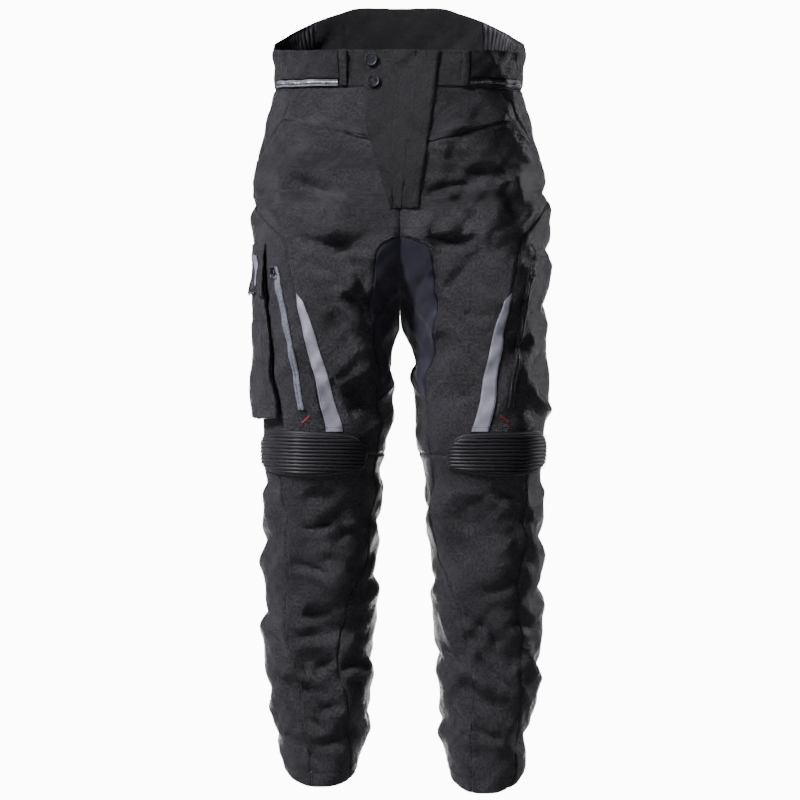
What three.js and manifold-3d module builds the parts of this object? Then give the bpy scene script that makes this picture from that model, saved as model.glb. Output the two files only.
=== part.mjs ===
// Textile motorcycle trousers, size L, filled out as worn and open at the waist and both hems.
// Millimetres, +Z up. The origin is the centre of the waist, level with the front waistband's top edge.
// The front faces -Y, and the wearer's left leg lies at +X.
import * as THREE from "three";
import Module from "manifold-3d";

const wasm = await Module();
wasm.setup();

// Driving sizes
const CLOTH = 2.0; // laminated polyester with its membrane and lining
const TRIM = 1.4; // tapes, strips, tabs and loops
const SEAM_GAP = 0.3;
const LIE = 0.85; // how far a laid-on piece stands off the cloth, so that flat facets stay clear
const SQUARENESS = 2.25; // exponent of the rounded section: 2 is an ellipse
const WAIST_SEAM = -57;
const YOKE_CORNER = -96;
const YOKE_CENTRE = -138;
const POCKET_END = -165;
const HIP_CORNER = -190;
const GUSSET_TOP = -252;
const CROTCH = -350;
const GUSSET_TIP = -470;
const KNEE_SEAM = -542;
const OUTSEAM = 212; // degrees round the leg: 0 faces the other leg, 90 front, 180 outwards, 270 back
const CALF_SEAM = 300;
const HEM = { right: -988, left: -997 };
const HEM_RISE = 22; // the hem rides up at the sides of each leg
const HEM_BEND = -900; // where it starts to

const CLOTH_BLACK = { color: 0x333336, roughness: 0.72, metalness: 0 };
const GUSSET_NAVY = { color: 0x2c2d3d, roughness: 0.85, metalness: 0 };
const RIB_BLACK = { color: 0x242428, roughness: 0.6, metalness: 0 };
const REFLECTIVE = { color: 0x8a8c95, roughness: 0.45, metalness: 0.1 };
const ZIP_GREY = { color: 0x686c77, roughness: 0.5, metalness: 0 };
const GUNMETAL = { color: 0x3a3d42, roughness: 0.35, metalness: 0.8 };

// Outline of each leg in the front view: distance from the middle to its outer and inner edge
const OUTLINE = {
  right: [
    { z: 70, out: 166 }, { z: 0, out: 170 }, { z: -53, out: 168 }, { z: -75, out: 174 },
    { z: -105, out: 181 }, { z: -140, out: 190 }, { z: -180, out: 197 }, { z: -230, out: 200 },
    { z: -300, out: 192 }, { z: -350, out: 189, inn: 0.4 }, { z: -378, out: 188, inn: 3 },
    { z: -400, out: 187, inn: 9 }, { z: -440, out: 186, inn: 8 }, { z: -470, out: 185, inn: 11 },
    { z: -500, out: 184, inn: 9 }, { z: -520, out: 183, inn: 16 }, { z: -545, out: 183, inn: 21 },
    { z: -568, out: 182, inn: 26 }, { z: -585, out: 179, inn: 24 }, { z: -612, out: 185, inn: 25 },
    { z: -655, out: 185, inn: 29 }, { z: -700, out: 186, inn: 31 }, { z: -740, out: 183, inn: 31 },
    { z: -785, out: 186, inn: 34 }, { z: -830, out: 183, inn: 37 }, { z: -870, out: 178, inn: 40 },
    { z: -905, out: 172, inn: 41 }, { z: -945, out: 164, inn: 50 }, { z: -998, out: 150, inn: 63 },
  ],
  left: [
    { z: 70, out: 163 }, { z: 0, out: 168 }, { z: -53, out: 164 }, { z: -75, out: 170 },
    { z: -105, out: 177 }, { z: -140, out: 187 }, { z: -180, out: 196 }, { z: -240, out: 203 },
    { z: -290, out: 202 }, { z: -350, out: 198, inn: 0.4 }, { z: -378, out: 196, inn: 6 },
    { z: -410, out: 198, inn: 17 }, { z: -440, out: 200, inn: 15 }, { z: -470, out: 200, inn: 21 },
    { z: -500, out: 196, inn: 22 }, { z: -520, out: 193, inn: 20 }, { z: -545, out: 193, inn: 26 },
    { z: -568, out: 190, inn: 31 }, { z: -585, out: 190, inn: 35 }, { z: -612, out: 195, inn: 33 },
    { z: -655, out: 193, inn: 39 }, { z: -700, out: 193, inn: 42 }, { z: -740, out: 193, inn: 43 },
    { z: -785, out: 192, inn: 46 }, { z: -830, out: 191, inn: 50 }, { z: -870, out: 187, inn: 53 },
    { z: -905, out: 177, inn: 53 }, { z: -945, out: 170, inn: 59 }, { z: -975, out: 169, inn: 64 },
    { z: -1006, out: 153, inn: 70 },
  ],
};

// Outline in the side view: the front and back of the cloth, with the bent knee of a riding cut
const DEPTH = [
  { z: 70, front: -106, back: 106 }, { z: 0, front: -112, back: 108 }, { z: -60, front: -114, back: 113 },
  { z: -130, front: -122, back: 128 }, { z: -200, front: -126, back: 139 },
  { z: -270, front: -124, back: 139 }, { z: -340, front: -121, back: 129 },
  { z: -400, front: -119, back: 111 }, { z: -470, front: -116, back: 93 },
  { z: -545, front: -114, back: 76 }, { z: -610, front: -101, back: 80 },
  { z: -690, front: -88, back: 90 }, { z: -780, front: -80, back: 94 }, { z: -870, front: -74, back: 90 },
  { z: -940, front: -68, back: 85 }, { z: -1006, front: -62, back: 80 },
];

// How far the two legs have parted: 0 is one body, 1 is two closed legs
const FORK = [
  { z: 70, fork: 0 }, { z: -135, fork: 0 }, { z: -177, fork: 0.03 }, { z: -216, fork: 0.1 },
  { z: -252, fork: 0.27 }, { z: -275, fork: 0.44 }, { z: -300, fork: 0.66 }, { z: -325, fork: 0.86 },
  { z: -340, fork: 0.955 }, { z: CROTCH, fork: 1 },
];

// Seams that show in front: distance from the middle on each leg, or the place in degrees round the leg
const POCKET_OPENING = [
  { z: WAIST_SEAM, right: 122, left: 126 }, { z: -68, right: 136, left: 141 },
  { z: -80, right: 148, left: 150 }, { z: YOKE_CORNER, right: 157, left: 158 },
  { z: -114, right: 169, left: 169 }, { z: -135, right: 181, left: 180 }, { z: -150, degrees: 176 },
  { z: POCKET_END, degrees: OUTSEAM },
];
const YOKE_SEAM = [
  { z: YOKE_CORNER, right: 157, left: 158 }, { z: -106, right: 117, left: 124 },
  { z: -117, right: 76, left: 84 }, { z: -127, right: 38, left: 46 }, { z: YOKE_CENTRE, right: 0, left: 0 },
];
const SIDE_SEAM = [
  { z: HIP_CORNER, degrees: OUTSEAM }, { z: -204, degrees: 178 }, { z: -216, right: 190, left: 190 },
  { z: -228, right: 181, left: 184 }, { z: -240, right: 171, left: 176 },
  { z: -252, right: 158, left: 165 }, { z: -262, right: 152, left: 159 },
  { z: -275, right: 149, left: 156 }, { z: -300, right: 143, left: 152 },
  { z: -325, right: 137, left: 147 }, { z: -420, right: 117, left: 131 },
  { z: -520, right: 97, left: 113 }, { z: KNEE_SEAM, right: 92, left: 108 },
];
const INNER_SEAM = [
  { z: GUSSET_TOP, right: 0, left: 0 }, { z: -262, right: 24, left: 36 }, { z: -275, right: 31, left: 42 },
  { z: -300, right: 32, left: 44 }, { z: -325, right: 35, left: 47 }, { z: -371, right: 33, left: 46 },
  { z: -420, right: 29, left: 36 }, { z: -470, right: 27, left: 34 }, { z: -520, right: 29, left: 37 },
  { z: KNEE_SEAM, right: 32, left: 42 }, { z: -600, right: 32, left: 42 }, { z: -640, right: 43, left: 44 },
  { z: -684, right: 41, left: 50 }, { z: -712, right: 58, left: 66 }, { z: -740, right: 71, left: 80 },
  { z: -768, right: 72, left: 86 }, { z: -810, right: 82, left: 89 }, { z: -838, right: 80, left: 96 },
  { z: -866, right: 70, left: 96 }, { z: -905, right: 69, left: 96 }, { z: -998, right: 71, left: 95 },
];
const SHIN_SEAM = [
  { z: KNEE_SEAM, right: 161, left: 171 }, { z: -600, right: 159, left: 168 },
  { z: -628, right: 151, left: 163 }, { z: -656, right: 150, left: 167 },
  { z: -684, right: 147, left: 162 }, { z: -712, right: 149, left: 156 },
  { z: -740, right: 153, left: 157 }, { z: -790, right: 152, left: 162 },
  { z: -824, right: 139, left: 163 }, { z: -852, right: 138, left: 162 },
  { z: -890, right: 131, left: 161 }, { z: -930, right: 124, left: 160 },
  { z: -945, right: 120, left: 155 }, { z: -998, right: 119, left: 143 },
];
const GUSSET_BACK = [
  { z: GUSSET_TOP, back: 286 }, { z: -262, back: 282 }, { z: -275, back: 284 }, { z: -300, back: 293 },
  { z: -350, back: 312 }, { z: -420, back: 346 }, { z: GUSSET_TIP, back: 396 },
];

// Largest folds: a line from (from, fromZ) to (to, toZ) in the view of one face, bowed at its middle.
// from and to are distances from the middle on the front and back, and depth is positive for a ridge.
const FOLDS = [
  { leg: "right", face: "front", from: 146, fromZ: -172, to: 78, toZ: -212, bow: -6, width: 13, depth: -6 },
  { leg: "right", face: "front", from: 160, fromZ: -200, to: 110, toZ: -228, bow: 4, width: 11, depth: -3 },
  { leg: "right", face: "front", from: 140, fromZ: -262, to: 62, toZ: -272, bow: -6, width: 12, depth: -6 },
  { leg: "right", face: "front", from: 100, fromZ: -258, to: 40, toZ: -322, bow: 8, width: 14, depth: -6 },
  { leg: "right", face: "front", from: 98, fromZ: -318, to: 52, toZ: -402, bow: -8, width: 14, depth: -5 },
  { leg: "right", face: "front", from: 78, fromZ: -430, to: 30, toZ: -500, bow: 6, width: 15, depth: -6 },
  { leg: "right", face: "front", from: 112, fromZ: -596, to: 70, toZ: -655, bow: 8, width: 15, depth: -5 },
  { leg: "right", face: "front", from: 120, fromZ: -655, to: 62, toZ: -722, bow: -8, width: 16, depth: 5 },
  { leg: "right", face: "front", from: 128, fromZ: -748, to: 60, toZ: -782, bow: -6, width: 13, depth: -6 },
  { leg: "right", face: "front", from: 140, fromZ: -815, to: 74, toZ: -850, bow: 8, width: 13, depth: -6 },
  { leg: "right", face: "front", from: 158, fromZ: -842, to: 96, toZ: -905, bow: 10, width: 12, depth: -6 },
  { leg: "left", face: "front", from: 60, fromZ: -150, to: 150, toZ: -176, bow: 6, width: 14, depth: -5 },
  { leg: "left", face: "front", from: 38, fromZ: -206, to: 100, toZ: -190, bow: 5, width: 10, depth: -4 },
  { leg: "left", face: "front", from: 40, fromZ: -262, to: 112, toZ: -252, bow: 8, width: 12, depth: -6 },
  { leg: "left", face: "front", from: 60, fromZ: -330, to: 132, toZ: -262, bow: -8, width: 15, depth: -5 },
  { leg: "left", face: "front", from: 52, fromZ: -380, to: 84, toZ: -470, bow: 10, width: 15, depth: -6 },
  { leg: "left", face: "front", from: 96, fromZ: -600, to: 140, toZ: -660, bow: 8, width: 15, depth: -5 },
  { leg: "left", face: "front", from: 84, fromZ: -690, to: 150, toZ: -735, bow: -8, width: 16, depth: 5 },
  { leg: "left", face: "front", from: 96, fromZ: -772, to: 158, toZ: -828, bow: 6, width: 14, depth: -6 },
  { leg: "left", face: "front", from: 76, fromZ: -850, to: 150, toZ: -900, bow: -6, width: 14, depth: -6 },
  { leg: "right", face: "back", from: 30, fromZ: -300, to: 150, toZ: -330, bow: 8, width: 15, depth: -7 },
  { leg: "left", face: "back", from: 28, fromZ: -312, to: 148, toZ: -322, bow: 6, width: 15, depth: -7 },
  { leg: "right", face: "back", from: 40, fromZ: -350, to: 150, toZ: -395, bow: -6, width: 14, depth: -5 },
  { leg: "left", face: "back", from: 40, fromZ: -356, to: 150, toZ: -385, bow: -8, width: 14, depth: -5 },
  { leg: "right", face: "back", from: 50, fromZ: -532, to: 160, toZ: -520, bow: 6, width: 13, depth: -8 },
  { leg: "left", face: "back", from: 56, fromZ: -528, to: 168, toZ: -536, bow: -5, width: 13, depth: -8 },
  { leg: "right", face: "back", from: 48, fromZ: -585, to: 160, toZ: -600, bow: -6, width: 14, depth: -7 },
  { leg: "left", face: "back", from: 56, fromZ: -592, to: 170, toZ: -582, bow: 8, width: 14, depth: -7 },
  { leg: "right", face: "back", from: 60, fromZ: -800, to: 150, toZ: -850, bow: 6, width: 15, depth: -5 },
  { leg: "left", face: "back", from: 70, fromZ: -850, to: 160, toZ: -800, bow: -6, width: 15, depth: -5 },
];

// Heights of the rows of points, shared by every panel so that facing edges match
const UPPER_ROWS = [
  WAIST_SEAM, -68, -81, YOKE_CORNER, -109, -123, YOKE_CENTRE, -150, POCKET_END, -177, HIP_CORNER, -204,
  -220, -236, GUSSET_TOP, -262, -278, -300, -325, CROTCH, -372, -396, -420, -445, GUSSET_TIP, -495, -520,
  KNEE_SEAM,
];
const LOWER_ROWS = [
  KNEE_SEAM - SEAM_GAP, -572, -600, -628, -656, -684, -712, -740, -768, -796, -824, -852, -880, -908,
  -936, -963,
];

const SIDES = ["right", "left"];
const SIGN = { right: -1, left: 1 };
const radians = THREE.MathUtils.degToRad;
const degrees = THREE.MathUtils.radToDeg;
const mix = THREE.MathUtils.lerp;
const smoothstep = THREE.MathUtils.smoothstep;
const halfGap = SEAM_GAP / 2;

// A smooth curve through one column of a table, whose rows run downwards in z
function column(rows, name) {
  const known = rows.filter((row) => row[name] !== undefined);
  const slope = known.map((row, i) => {
    const above = known[Math.max(i - 1, 0)];
    const below = known[Math.min(i + 1, known.length - 1)];
    return (above[name] - below[name]) / (above.z - below.z);
  });
  return (z) => {
    let i = 0;
    while (i < known.length - 2 && z < known[i + 1].z) i += 1;
    const high = known[i];
    const low = known[i + 1];
    const span = high.z - low.z;
    const s = THREE.MathUtils.clamp((high.z - z) / span, 0, 1);
    const h = s * s * (3 - 2 * s);
    const bendHigh = s * (1 - s) * (1 - s) * -span * slope[i];
    const bendLow = s * s * (1 - s) * span * slope[i + 1];
    return mix(high[name], low[name], h) + bendHigh + bendLow;
  };
}

const outer = { right: column(OUTLINE.right, "out"), left: column(OUTLINE.left, "out") };
const inner = { right: column(OUTLINE.right, "inn"), left: column(OUTLINE.left, "inn") };
const front = column(DEPTH, "front");
const back = column(DEPTH, "back");
const fork = column(FORK, "fork");

// The rounded section of one leg at a height: its middle and its half sizes
function section(leg, z) {
  const out = outer[leg](z);
  const parted = fork(z);
  const inn = z >= CROTCH ? (-(1 - parted) / (1 + parted)) * out : inner[leg](z);
  return {
    x: (out + inn) / 2,
    wide: (out - inn) / 2,
    y: (front(z) + back(z)) / 2,
    deep: (back(z) - front(z)) / 2,
  };
}

// Degrees round the leg of a point on its front, from its distance from the middle of the garment
function turnAt(leg, z, distance) {
  const s = section(leg, z);
  const across = THREE.MathUtils.clamp((s.x - distance) / s.wide, -1, 1);
  const ahead = (1 - Math.abs(across) ** SQUARENESS) ** (1 / SQUARENESS);
  return degrees(Math.atan2(ahead, across));
}

// Where the section meets the middle plane, above the crotch
function middleTurn(leg, z) {
  return z <= CROTCH ? 0 : turnAt(leg, z, 0);
}

// The plain surface: a rounded section at each height, its radius set by the exponent
function plainPoint(leg, turn, z) {
  const s = section(leg, z);
  const a = radians(turn);
  const c = Math.cos(a);
  const n = Math.sin(a);
  const r = (Math.abs(c) ** SQUARENESS + Math.abs(n) ** SQUARENESS) ** (-1 / SQUARENESS);
  return new THREE.Vector3(s.x - s.wide * r * c, s.y - s.deep * r * n, z);
}

const PROBE = { turn: 0.4, z: 1 }; // steps to either side for a slope

function normalOf(point, turn, z) {
  const around = point(turn + PROBE.turn, z).sub(point(turn - PROBE.turn, z));
  const down = point(turn, z - PROBE.z).sub(point(turn, z + PROBE.z));
  return down.cross(around).normalize();
}

// A fold is whole where the cloth faces its view and fades out where it turns away
const FACES_AWAY = 0.15;
const FACES_WELL = 0.6;
const FOLD_END = 0.8; // exponent of the fade at both ends of a fold

// Height of one fold at a point: a bell across its line, fading out at both ends
function foldHeight(fold, p, facing) {
  const dx = fold.to - fold.from;
  const dz = fold.toZ - fold.fromZ;
  const long = Math.hypot(dx, dz);
  const along = ((p.x - fold.from) * dx + (p.z - fold.fromZ) * dz) / (long * long);
  if (along <= 0 || along >= 1) return 0;
  const beside = ((p.x - fold.from) * dz - (p.z - fold.fromZ) * dx) / long;
  const off = (beside - fold.bow * 4 * along * (1 - along)) / fold.width;
  return fold.depth * Math.exp(-off * off) * Math.sin(Math.PI * along) ** FOLD_END * facing;
}

// The folded surface, in the leg's own frame, where x is the distance from the middle
function foldedPoint(leg, turn, z) {
  const p = plainPoint(leg, turn, z);
  const n = normalOf((t, h) => plainPoint(leg, t, h), turn, z);
  let height = 0;
  for (const fold of FOLDS) {
    if (fold.leg !== leg) continue;
    const facing = smoothstep(fold.face === "front" ? -n.y : n.y, FACES_AWAY, FACES_WELL);
    if (facing > 0) height += foldHeight(fold, p, facing);
  }
  return p.addScaledVector(n, height);
}

// A point of the cloth moved out along its normal, in the garment's frame
function clothPoint(leg, turn, z, lift) {
  const p = foldedPoint(leg, turn, z);
  const n = normalOf((t, h) => foldedPoint(leg, t, h), turn, z);
  p.addScaledVector(n, lift);
  p.x = Math.max(p.x, halfGap);
  return new THREE.Vector3(SIGN[leg] * p.x, p.y, p.z);
}

// Height of a point once the hem has ridden up at the sides
function hemmed(leg, turn, z) {
  const low = smoothstep(HEM_BEND - z, 0, HEM_BEND - HEM[leg]);
  return z + HEM_RISE * low * Math.cos(radians(turn)) ** 4;
}

// Degrees of arc that cover one millimetre round the leg
function degreesPerMm(leg, turn, z) {
  return 2 / plainPoint(leg, turn + 1, z).distanceTo(plainPoint(leg, turn - 1, z));
}

// A seam as degrees against height, straight between the heights of its table
function seam(leg, rows) {
  const turns = rows.map((row) => ({ z: row.z, turn: row.degrees ?? turnAt(leg, row.z, row[leg]) }));
  return (z) => {
    let i = 0;
    while (i < turns.length - 2 && z < turns[i + 1].z) i += 1;
    const s = THREE.MathUtils.clamp((turns[i].z - z) / (turns[i].z - turns[i + 1].z), 0, 1);
    return mix(turns[i].turn, turns[i + 1].turn, s);
  };
}

// A closed solid from two equal grids of points, its outer and inner face, joined round the rim.
// Points that coincide are merged, so a grid may run out to a tip.
function sheetGeometry(outerGrid, innerGrid) {
  const positions = [];
  const seen = new Map();
  const idOf = (p) => {
    const key = `${p.x.toFixed(3)},${p.y.toFixed(3)},${p.z.toFixed(3)}`;
    if (!seen.has(key)) {
      seen.set(key, positions.length / 3);
      positions.push(p.x, p.y, p.z);
    }
    return seen.get(key);
  };
  const top = outerGrid.map((row) => row.map(idOf));
  const bottom = innerGrid.map((row) => row.map(idOf));
  const faces = [];
  const triangle = (a, b, c) => {
    if (a !== b && b !== c && a !== c) faces.push(a, b, c);
  };
  const quad = (a, b, c, d) => {
    triangle(a, b, c);
    triangle(a, c, d);
  };
  const rows = top.length;
  const columns = top[0].length;
  for (let i = 0; i + 1 < rows; i += 1) {
    for (let j = 0; j + 1 < columns; j += 1) {
      quad(top[i][j], top[i + 1][j], top[i + 1][j + 1], top[i][j + 1]);
      quad(bottom[i][j], bottom[i][j + 1], bottom[i + 1][j + 1], bottom[i + 1][j]);
    }
    quad(top[i][0], bottom[i][0], bottom[i + 1][0], top[i + 1][0]);
    quad(top[i][columns - 1], top[i + 1][columns - 1], bottom[i + 1][columns - 1], bottom[i][columns - 1]);
  }
  for (let j = 0; j + 1 < columns; j += 1) {
    quad(top[0][j], top[0][j + 1], bottom[0][j + 1], bottom[0][j]);
    quad(top[rows - 1][j], bottom[rows - 1][j], bottom[rows - 1][j + 1], top[rows - 1][j + 1]);
  }
  const geometry = new THREE.BufferGeometry();
  geometry.setAttribute("position", new THREE.Float32BufferAttribute(positions, 3));
  if (volumeOf(positions, faces) < 0) faces.reverse();
  geometry.setIndex(faces);
  geometry.computeVertexNormals();
  return geometry;
}

function volumeOf(positions, faces) {
  const corner = (i) => new THREE.Vector3().fromArray(positions, faces[i] * 3);
  let six = 0;
  for (let i = 0; i < faces.length; i += 3) six += corner(i).dot(corner(i + 1).cross(corner(i + 2)));
  return six / 6;
}

const trousers = new THREE.Group();

function addMesh(name, geometry, finish, parent = trousers) {
  const mesh = new THREE.Mesh(geometry, new THREE.MeshStandardMaterial(finish));
  mesh.name = name;
  parent.add(mesh);
  return mesh;
}

// A cut panel between two seams: one row of points at each height, drawn in by half the seam gap all round.
// Where the two seams meet, the row shrinks to a tip, which is drawn in further.
const TIP_DRAW = 4;

function panelGrid(leg, heights, leftSeam, rightSeam, columns, drawIn) {
  const edge = (seamLine, i) => {
    const high = heights[Math.max(i - 1, 0)];
    const low = heights[Math.min(i + 1, heights.length - 1)];
    const turn = seamLine(heights[i]);
    const perMm = degreesPerMm(leg, turn, heights[i]);
    const run = (seamLine(high) - seamLine(low)) / perMm;
    const rise = high - low;
    const long = Math.hypot(run, rise);
    return { turn, perMm, across: rise / long, up: -run / long };
  };
  return heights.map((z, i) => {
    const left = edge(leftSeam, i);
    const right = edge(rightSeam, i);
    const atEnd = i === 0 ? -drawIn : i === heights.length - 1 ? drawIn : 0;
    const from = { turn: left.turn + left.across * drawIn * left.perMm, z: z + left.up * drawIn + atEnd };
    const to = { turn: right.turn - right.across * drawIn * right.perMm, z: z - right.up * drawIn + atEnd };
    if (from.turn >= to.turn) {
      const turn = (left.turn + right.turn) / 2;
      const tip = { turn, z: z + Math.sign(atEnd) * TIP_DRAW * drawIn };
      return Array.from({ length: columns + 1 }, () => tip);
    }
    return Array.from({ length: columns + 1 }, (_, j) => ({
      turn: mix(from.turn, to.turn, j / columns),
      z: mix(from.z, to.z, j / columns),
    }));
  });
}

// A sheet on the cloth's surface from a grid of turns and heights, with its inner and outer lift
function layGrid(leg, grid, low, high) {
  const at = (g, lift) => clothPoint(leg, g.turn, hemmed(leg, g.turn, g.z), lift);
  const lay = (lift) => grid.map((row) => row.map((g) => at(g, lift)));
  return sheetGeometry(lay(high), lay(low));
}

function rowsBetween(rows, high, low) {
  return rows.filter((z) => z <= high && z >= low);
}

// How many columns of faces each panel has
const PANEL_COLUMNS = {
  hip_side: 4, front_yoke: 6, front_thigh: 8, side_panel: 7, back_panel: 8, gusset: 8,
  shin: 6, calf_outer: 4, calf_back: 5, calf_inner: 4,
};

function addPanel(name, leg, heights, leftSeam, rightSeam) {
  const grid = panelGrid(leg, heights, leftSeam, rightSeam, PANEL_COLUMNS[name], halfGap);
  addMesh(`${name}_${leg}`, layGrid(leg, grid, -CLOTH, 0), CLOTH_BLACK);
}

// A strip laid on the cloth between two lines given as degrees against height
function addStrip(name, leg, heights, leftLine, rightLine, columns, thickness, finish, low = LIE) {
  const grid = heights.map((z) =>
    Array.from({ length: columns + 1 }, (_, j) => {
      const turn = mix(leftLine(z), rightLine(z), j / columns);
      return { turn, z };
    }),
  );
  return addMesh(name, layGrid(leg, grid, low, low + thickness), finish);
}

// Cut panels of one leg
function addLegPanels(leg) {
  const pocket = seam(leg, POCKET_OPENING);
  const yoke = seam(leg, YOKE_SEAM);
  const side = seam(leg, SIDE_SEAM);
  const inside = seam(leg, INNER_SEAM);
  const shin = seam(leg, SHIN_SEAM);
  const underSeam = column(GUSSET_BACK, "back");
  const middle = (z) => middleTurn(leg, z);
  const outseam = () => OUTSEAM;
  const calf = () => CALF_SEAM;
  const insideBehind = (z) => 360 + inside(z);
  const gussetBack = (z) => {
    if (z >= GUSSET_TOP) return 360 - middleTurn(leg, GUSSET_TOP);
    return z <= GUSSET_TIP ? insideBehind(z) : underSeam(z);
  };
  const whole = (high, low) => rowsBetween(UPPER_ROWS, high, low);

  addPanel("hip_side", leg, whole(WAIST_SEAM, POCKET_END), pocket, outseam);
  const yokeOuter = (z) => (z > YOKE_CORNER ? pocket(z) : yoke(z));
  addPanel("front_yoke", leg, whole(WAIST_SEAM, YOKE_CENTRE), middle, yokeOuter);

  const thighInner = (z) => (z > YOKE_CENTRE ? yoke(z) : z > GUSSET_TOP ? middle(z) : inside(z));
  const thighOuter = (z) => (z > POCKET_END ? pocket(z) : z > HIP_CORNER ? OUTSEAM : side(z));
  addPanel("front_thigh", leg, whole(YOKE_CORNER, KNEE_SEAM), thighInner, thighOuter);
  addPanel("side_panel", leg, whole(HIP_CORNER, KNEE_SEAM), side, outseam);

  const backInner = (z) => (z > GUSSET_TOP ? 360 - middle(z) : gussetBack(z));
  addPanel("back_panel", leg, whole(WAIST_SEAM, KNEE_SEAM), outseam, backInner);
  addGusset(leg, inside, gussetBack);

  const lower = [...LOWER_ROWS, HEM[leg]];
  addPanel("shin", leg, lower, inside, shin);
  addPanel("calf_outer", leg, lower, shin, outseam);
  addPanel("calf_back", leg, lower, outseam, calf);
  addPanel("calf_inner", leg, lower, calf, insideBehind);
}

// Stretch gusset: its top edge is the U of the crotch seam, and it runs out to a tip on the inner thigh
const HALVINGS = 24;
const SAG_FADE = 1.4;

function addGusset(leg, frontSeam, backSeam) {
  const heights = rowsBetween(UPPER_ROWS, GUSSET_TOP, GUSSET_TIP);
  const columns = PANEL_COLUMNS.gusset;
  const widest = middleTurn(leg, GUSSET_TOP);
  const crotchHeight = (turn) => {
    let high = GUSSET_TOP;
    let low = CROTCH;
    for (let step = 0; step < HALVINGS; step += 1) {
      const z = (high + low) / 2;
      if (middleTurn(leg, z) > Math.abs(turn)) high = z;
      else low = z;
    }
    return (high + low) / 2;
  };
  const sides = panelGrid(leg, heights, (z) => backSeam(z) - 360, frontSeam, 1, halfGap);
  const grid = heights.map((z, i) => {
    const fade = ((z - GUSSET_TIP) / (GUSSET_TOP - GUSSET_TIP)) ** SAG_FADE;
    return Array.from({ length: columns + 1 }, (_, j) => {
      const s = j / columns;
      const sag = (crotchHeight(mix(-widest, widest, s)) - GUSSET_TOP) * fade;
      const [from, to] = sides[i];
      return { turn: mix(from.turn, to.turn, s), z: mix(from.z, to.z, s) + sag };
    });
  });
  addMesh(`gusset_${leg}`, layGrid(leg, grid, -CLOTH, 0), GUSSET_NAVY);
}

// Degrees against height of a line through (distance, z) pairs on the front of a leg
function lineAt(leg, x0, z0, x1, z1, shift = 0) {
  return (z) => turnAt(leg, z, mix(x0, x1, (z0 - z) / (z0 - z1)) + shift);
}

// Reflective strip along the side seam, and the pocket zip beside it
const STRIP = { top: -327, bottom: -509, topWide: 13, bottomWide: 22 };
const ZIP = {
  right: { topX: 166, topZ: -292, bottomX: 129, bottomZ: -480 },
  left: { topX: 173, topZ: -293, bottomX: 145, bottomZ: -478 },
  halfWide: 3.8,
  lie: 0.45,
};

function addStripAndZip(leg) {
  const side = seam(leg, SIDE_SEAM);
  const stripRows = [STRIP.top, -350, -371, -395, -420, -445, -470, -495, STRIP.bottom];
  const stripInner = (z) => {
    const wide = mix(STRIP.topWide, STRIP.bottomWide, (STRIP.top - z) / (STRIP.top - STRIP.bottom));
    return side(z) - wide * degreesPerMm(leg, side(z), z);
  };
  const strip = `reflective_strip_${leg}`;
  addStrip(strip, leg, stripRows, stripInner, side, 2, TRIM / 2, REFLECTIVE);

  const zip = ZIP[leg];
  const zipRows = Array.from({ length: 12 }, (_, i) => mix(zip.topZ, zip.bottomZ, i / 11));
  const line = (shift) => lineAt(leg, zip.topX, zip.topZ, zip.bottomX, zip.bottomZ, shift);
  const [near, far] = [line(-ZIP.halfWide), line(ZIP.halfWide)];
  addStrip(`pocket_zip_${leg}`, leg, zipRows, near, far, 2, TRIM, ZIP_GREY, ZIP.lie);
}

// Zip slider with its bridge, and the ring that swings under the bridge
const SLIDER = {
  long: 9.5, wide: 6.6, thick: 2.4, bridgeLong: 7.4, bridgeHigh: 3.6, bridgeWide: 1.8, bar: 1, clear: 0.5,
};
const RING = { radius: 4.7, wire: 0.75, underBridge: 1.35 };

function solidFrom(geometry) {
  const bare = new THREE.BufferGeometry();
  bare.setAttribute("position", geometry.getAttribute("position"));
  bare.setIndex(geometry.index);
  const ids = new Map();
  const vertices = [];
  const position = bare.getAttribute("position");
  const count = { length: position.count };
  const corners = bare.index ? Array.from(bare.index.array) : Array.from(count, (_, i) => i);
  const faces = corners.map((i) => {
    const key = [position.getX(i), position.getY(i), position.getZ(i)].map((v) => v.toFixed(4)).join();
    if (!ids.has(key)) {
      ids.set(key, vertices.length / 3);
      vertices.push(position.getX(i), position.getY(i), position.getZ(i));
    }
    return ids.get(key);
  });
  const mesh = new wasm.Mesh({
    numProp: 3,
    vertProperties: new Float32Array(vertices),
    triVerts: new Uint32Array(faces),
  });
  return new wasm.Manifold(mesh);
}

function geometryFrom(solid) {
  const mesh = solid.getMesh();
  const geometry = new THREE.BufferGeometry();
  geometry.setAttribute("position", new THREE.BufferAttribute(mesh.vertProperties, 3));
  geometry.setIndex(new THREE.BufferAttribute(mesh.triVerts, 1));
  geometry.computeVertexNormals();
  return geometry;
}

// In the slider's own frame x is across the zip, y up along it, and z out of the cloth
const ARCH_SUNK = 1; // the bridge's feet reach into the plate
const TAPER = 0.7;

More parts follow.
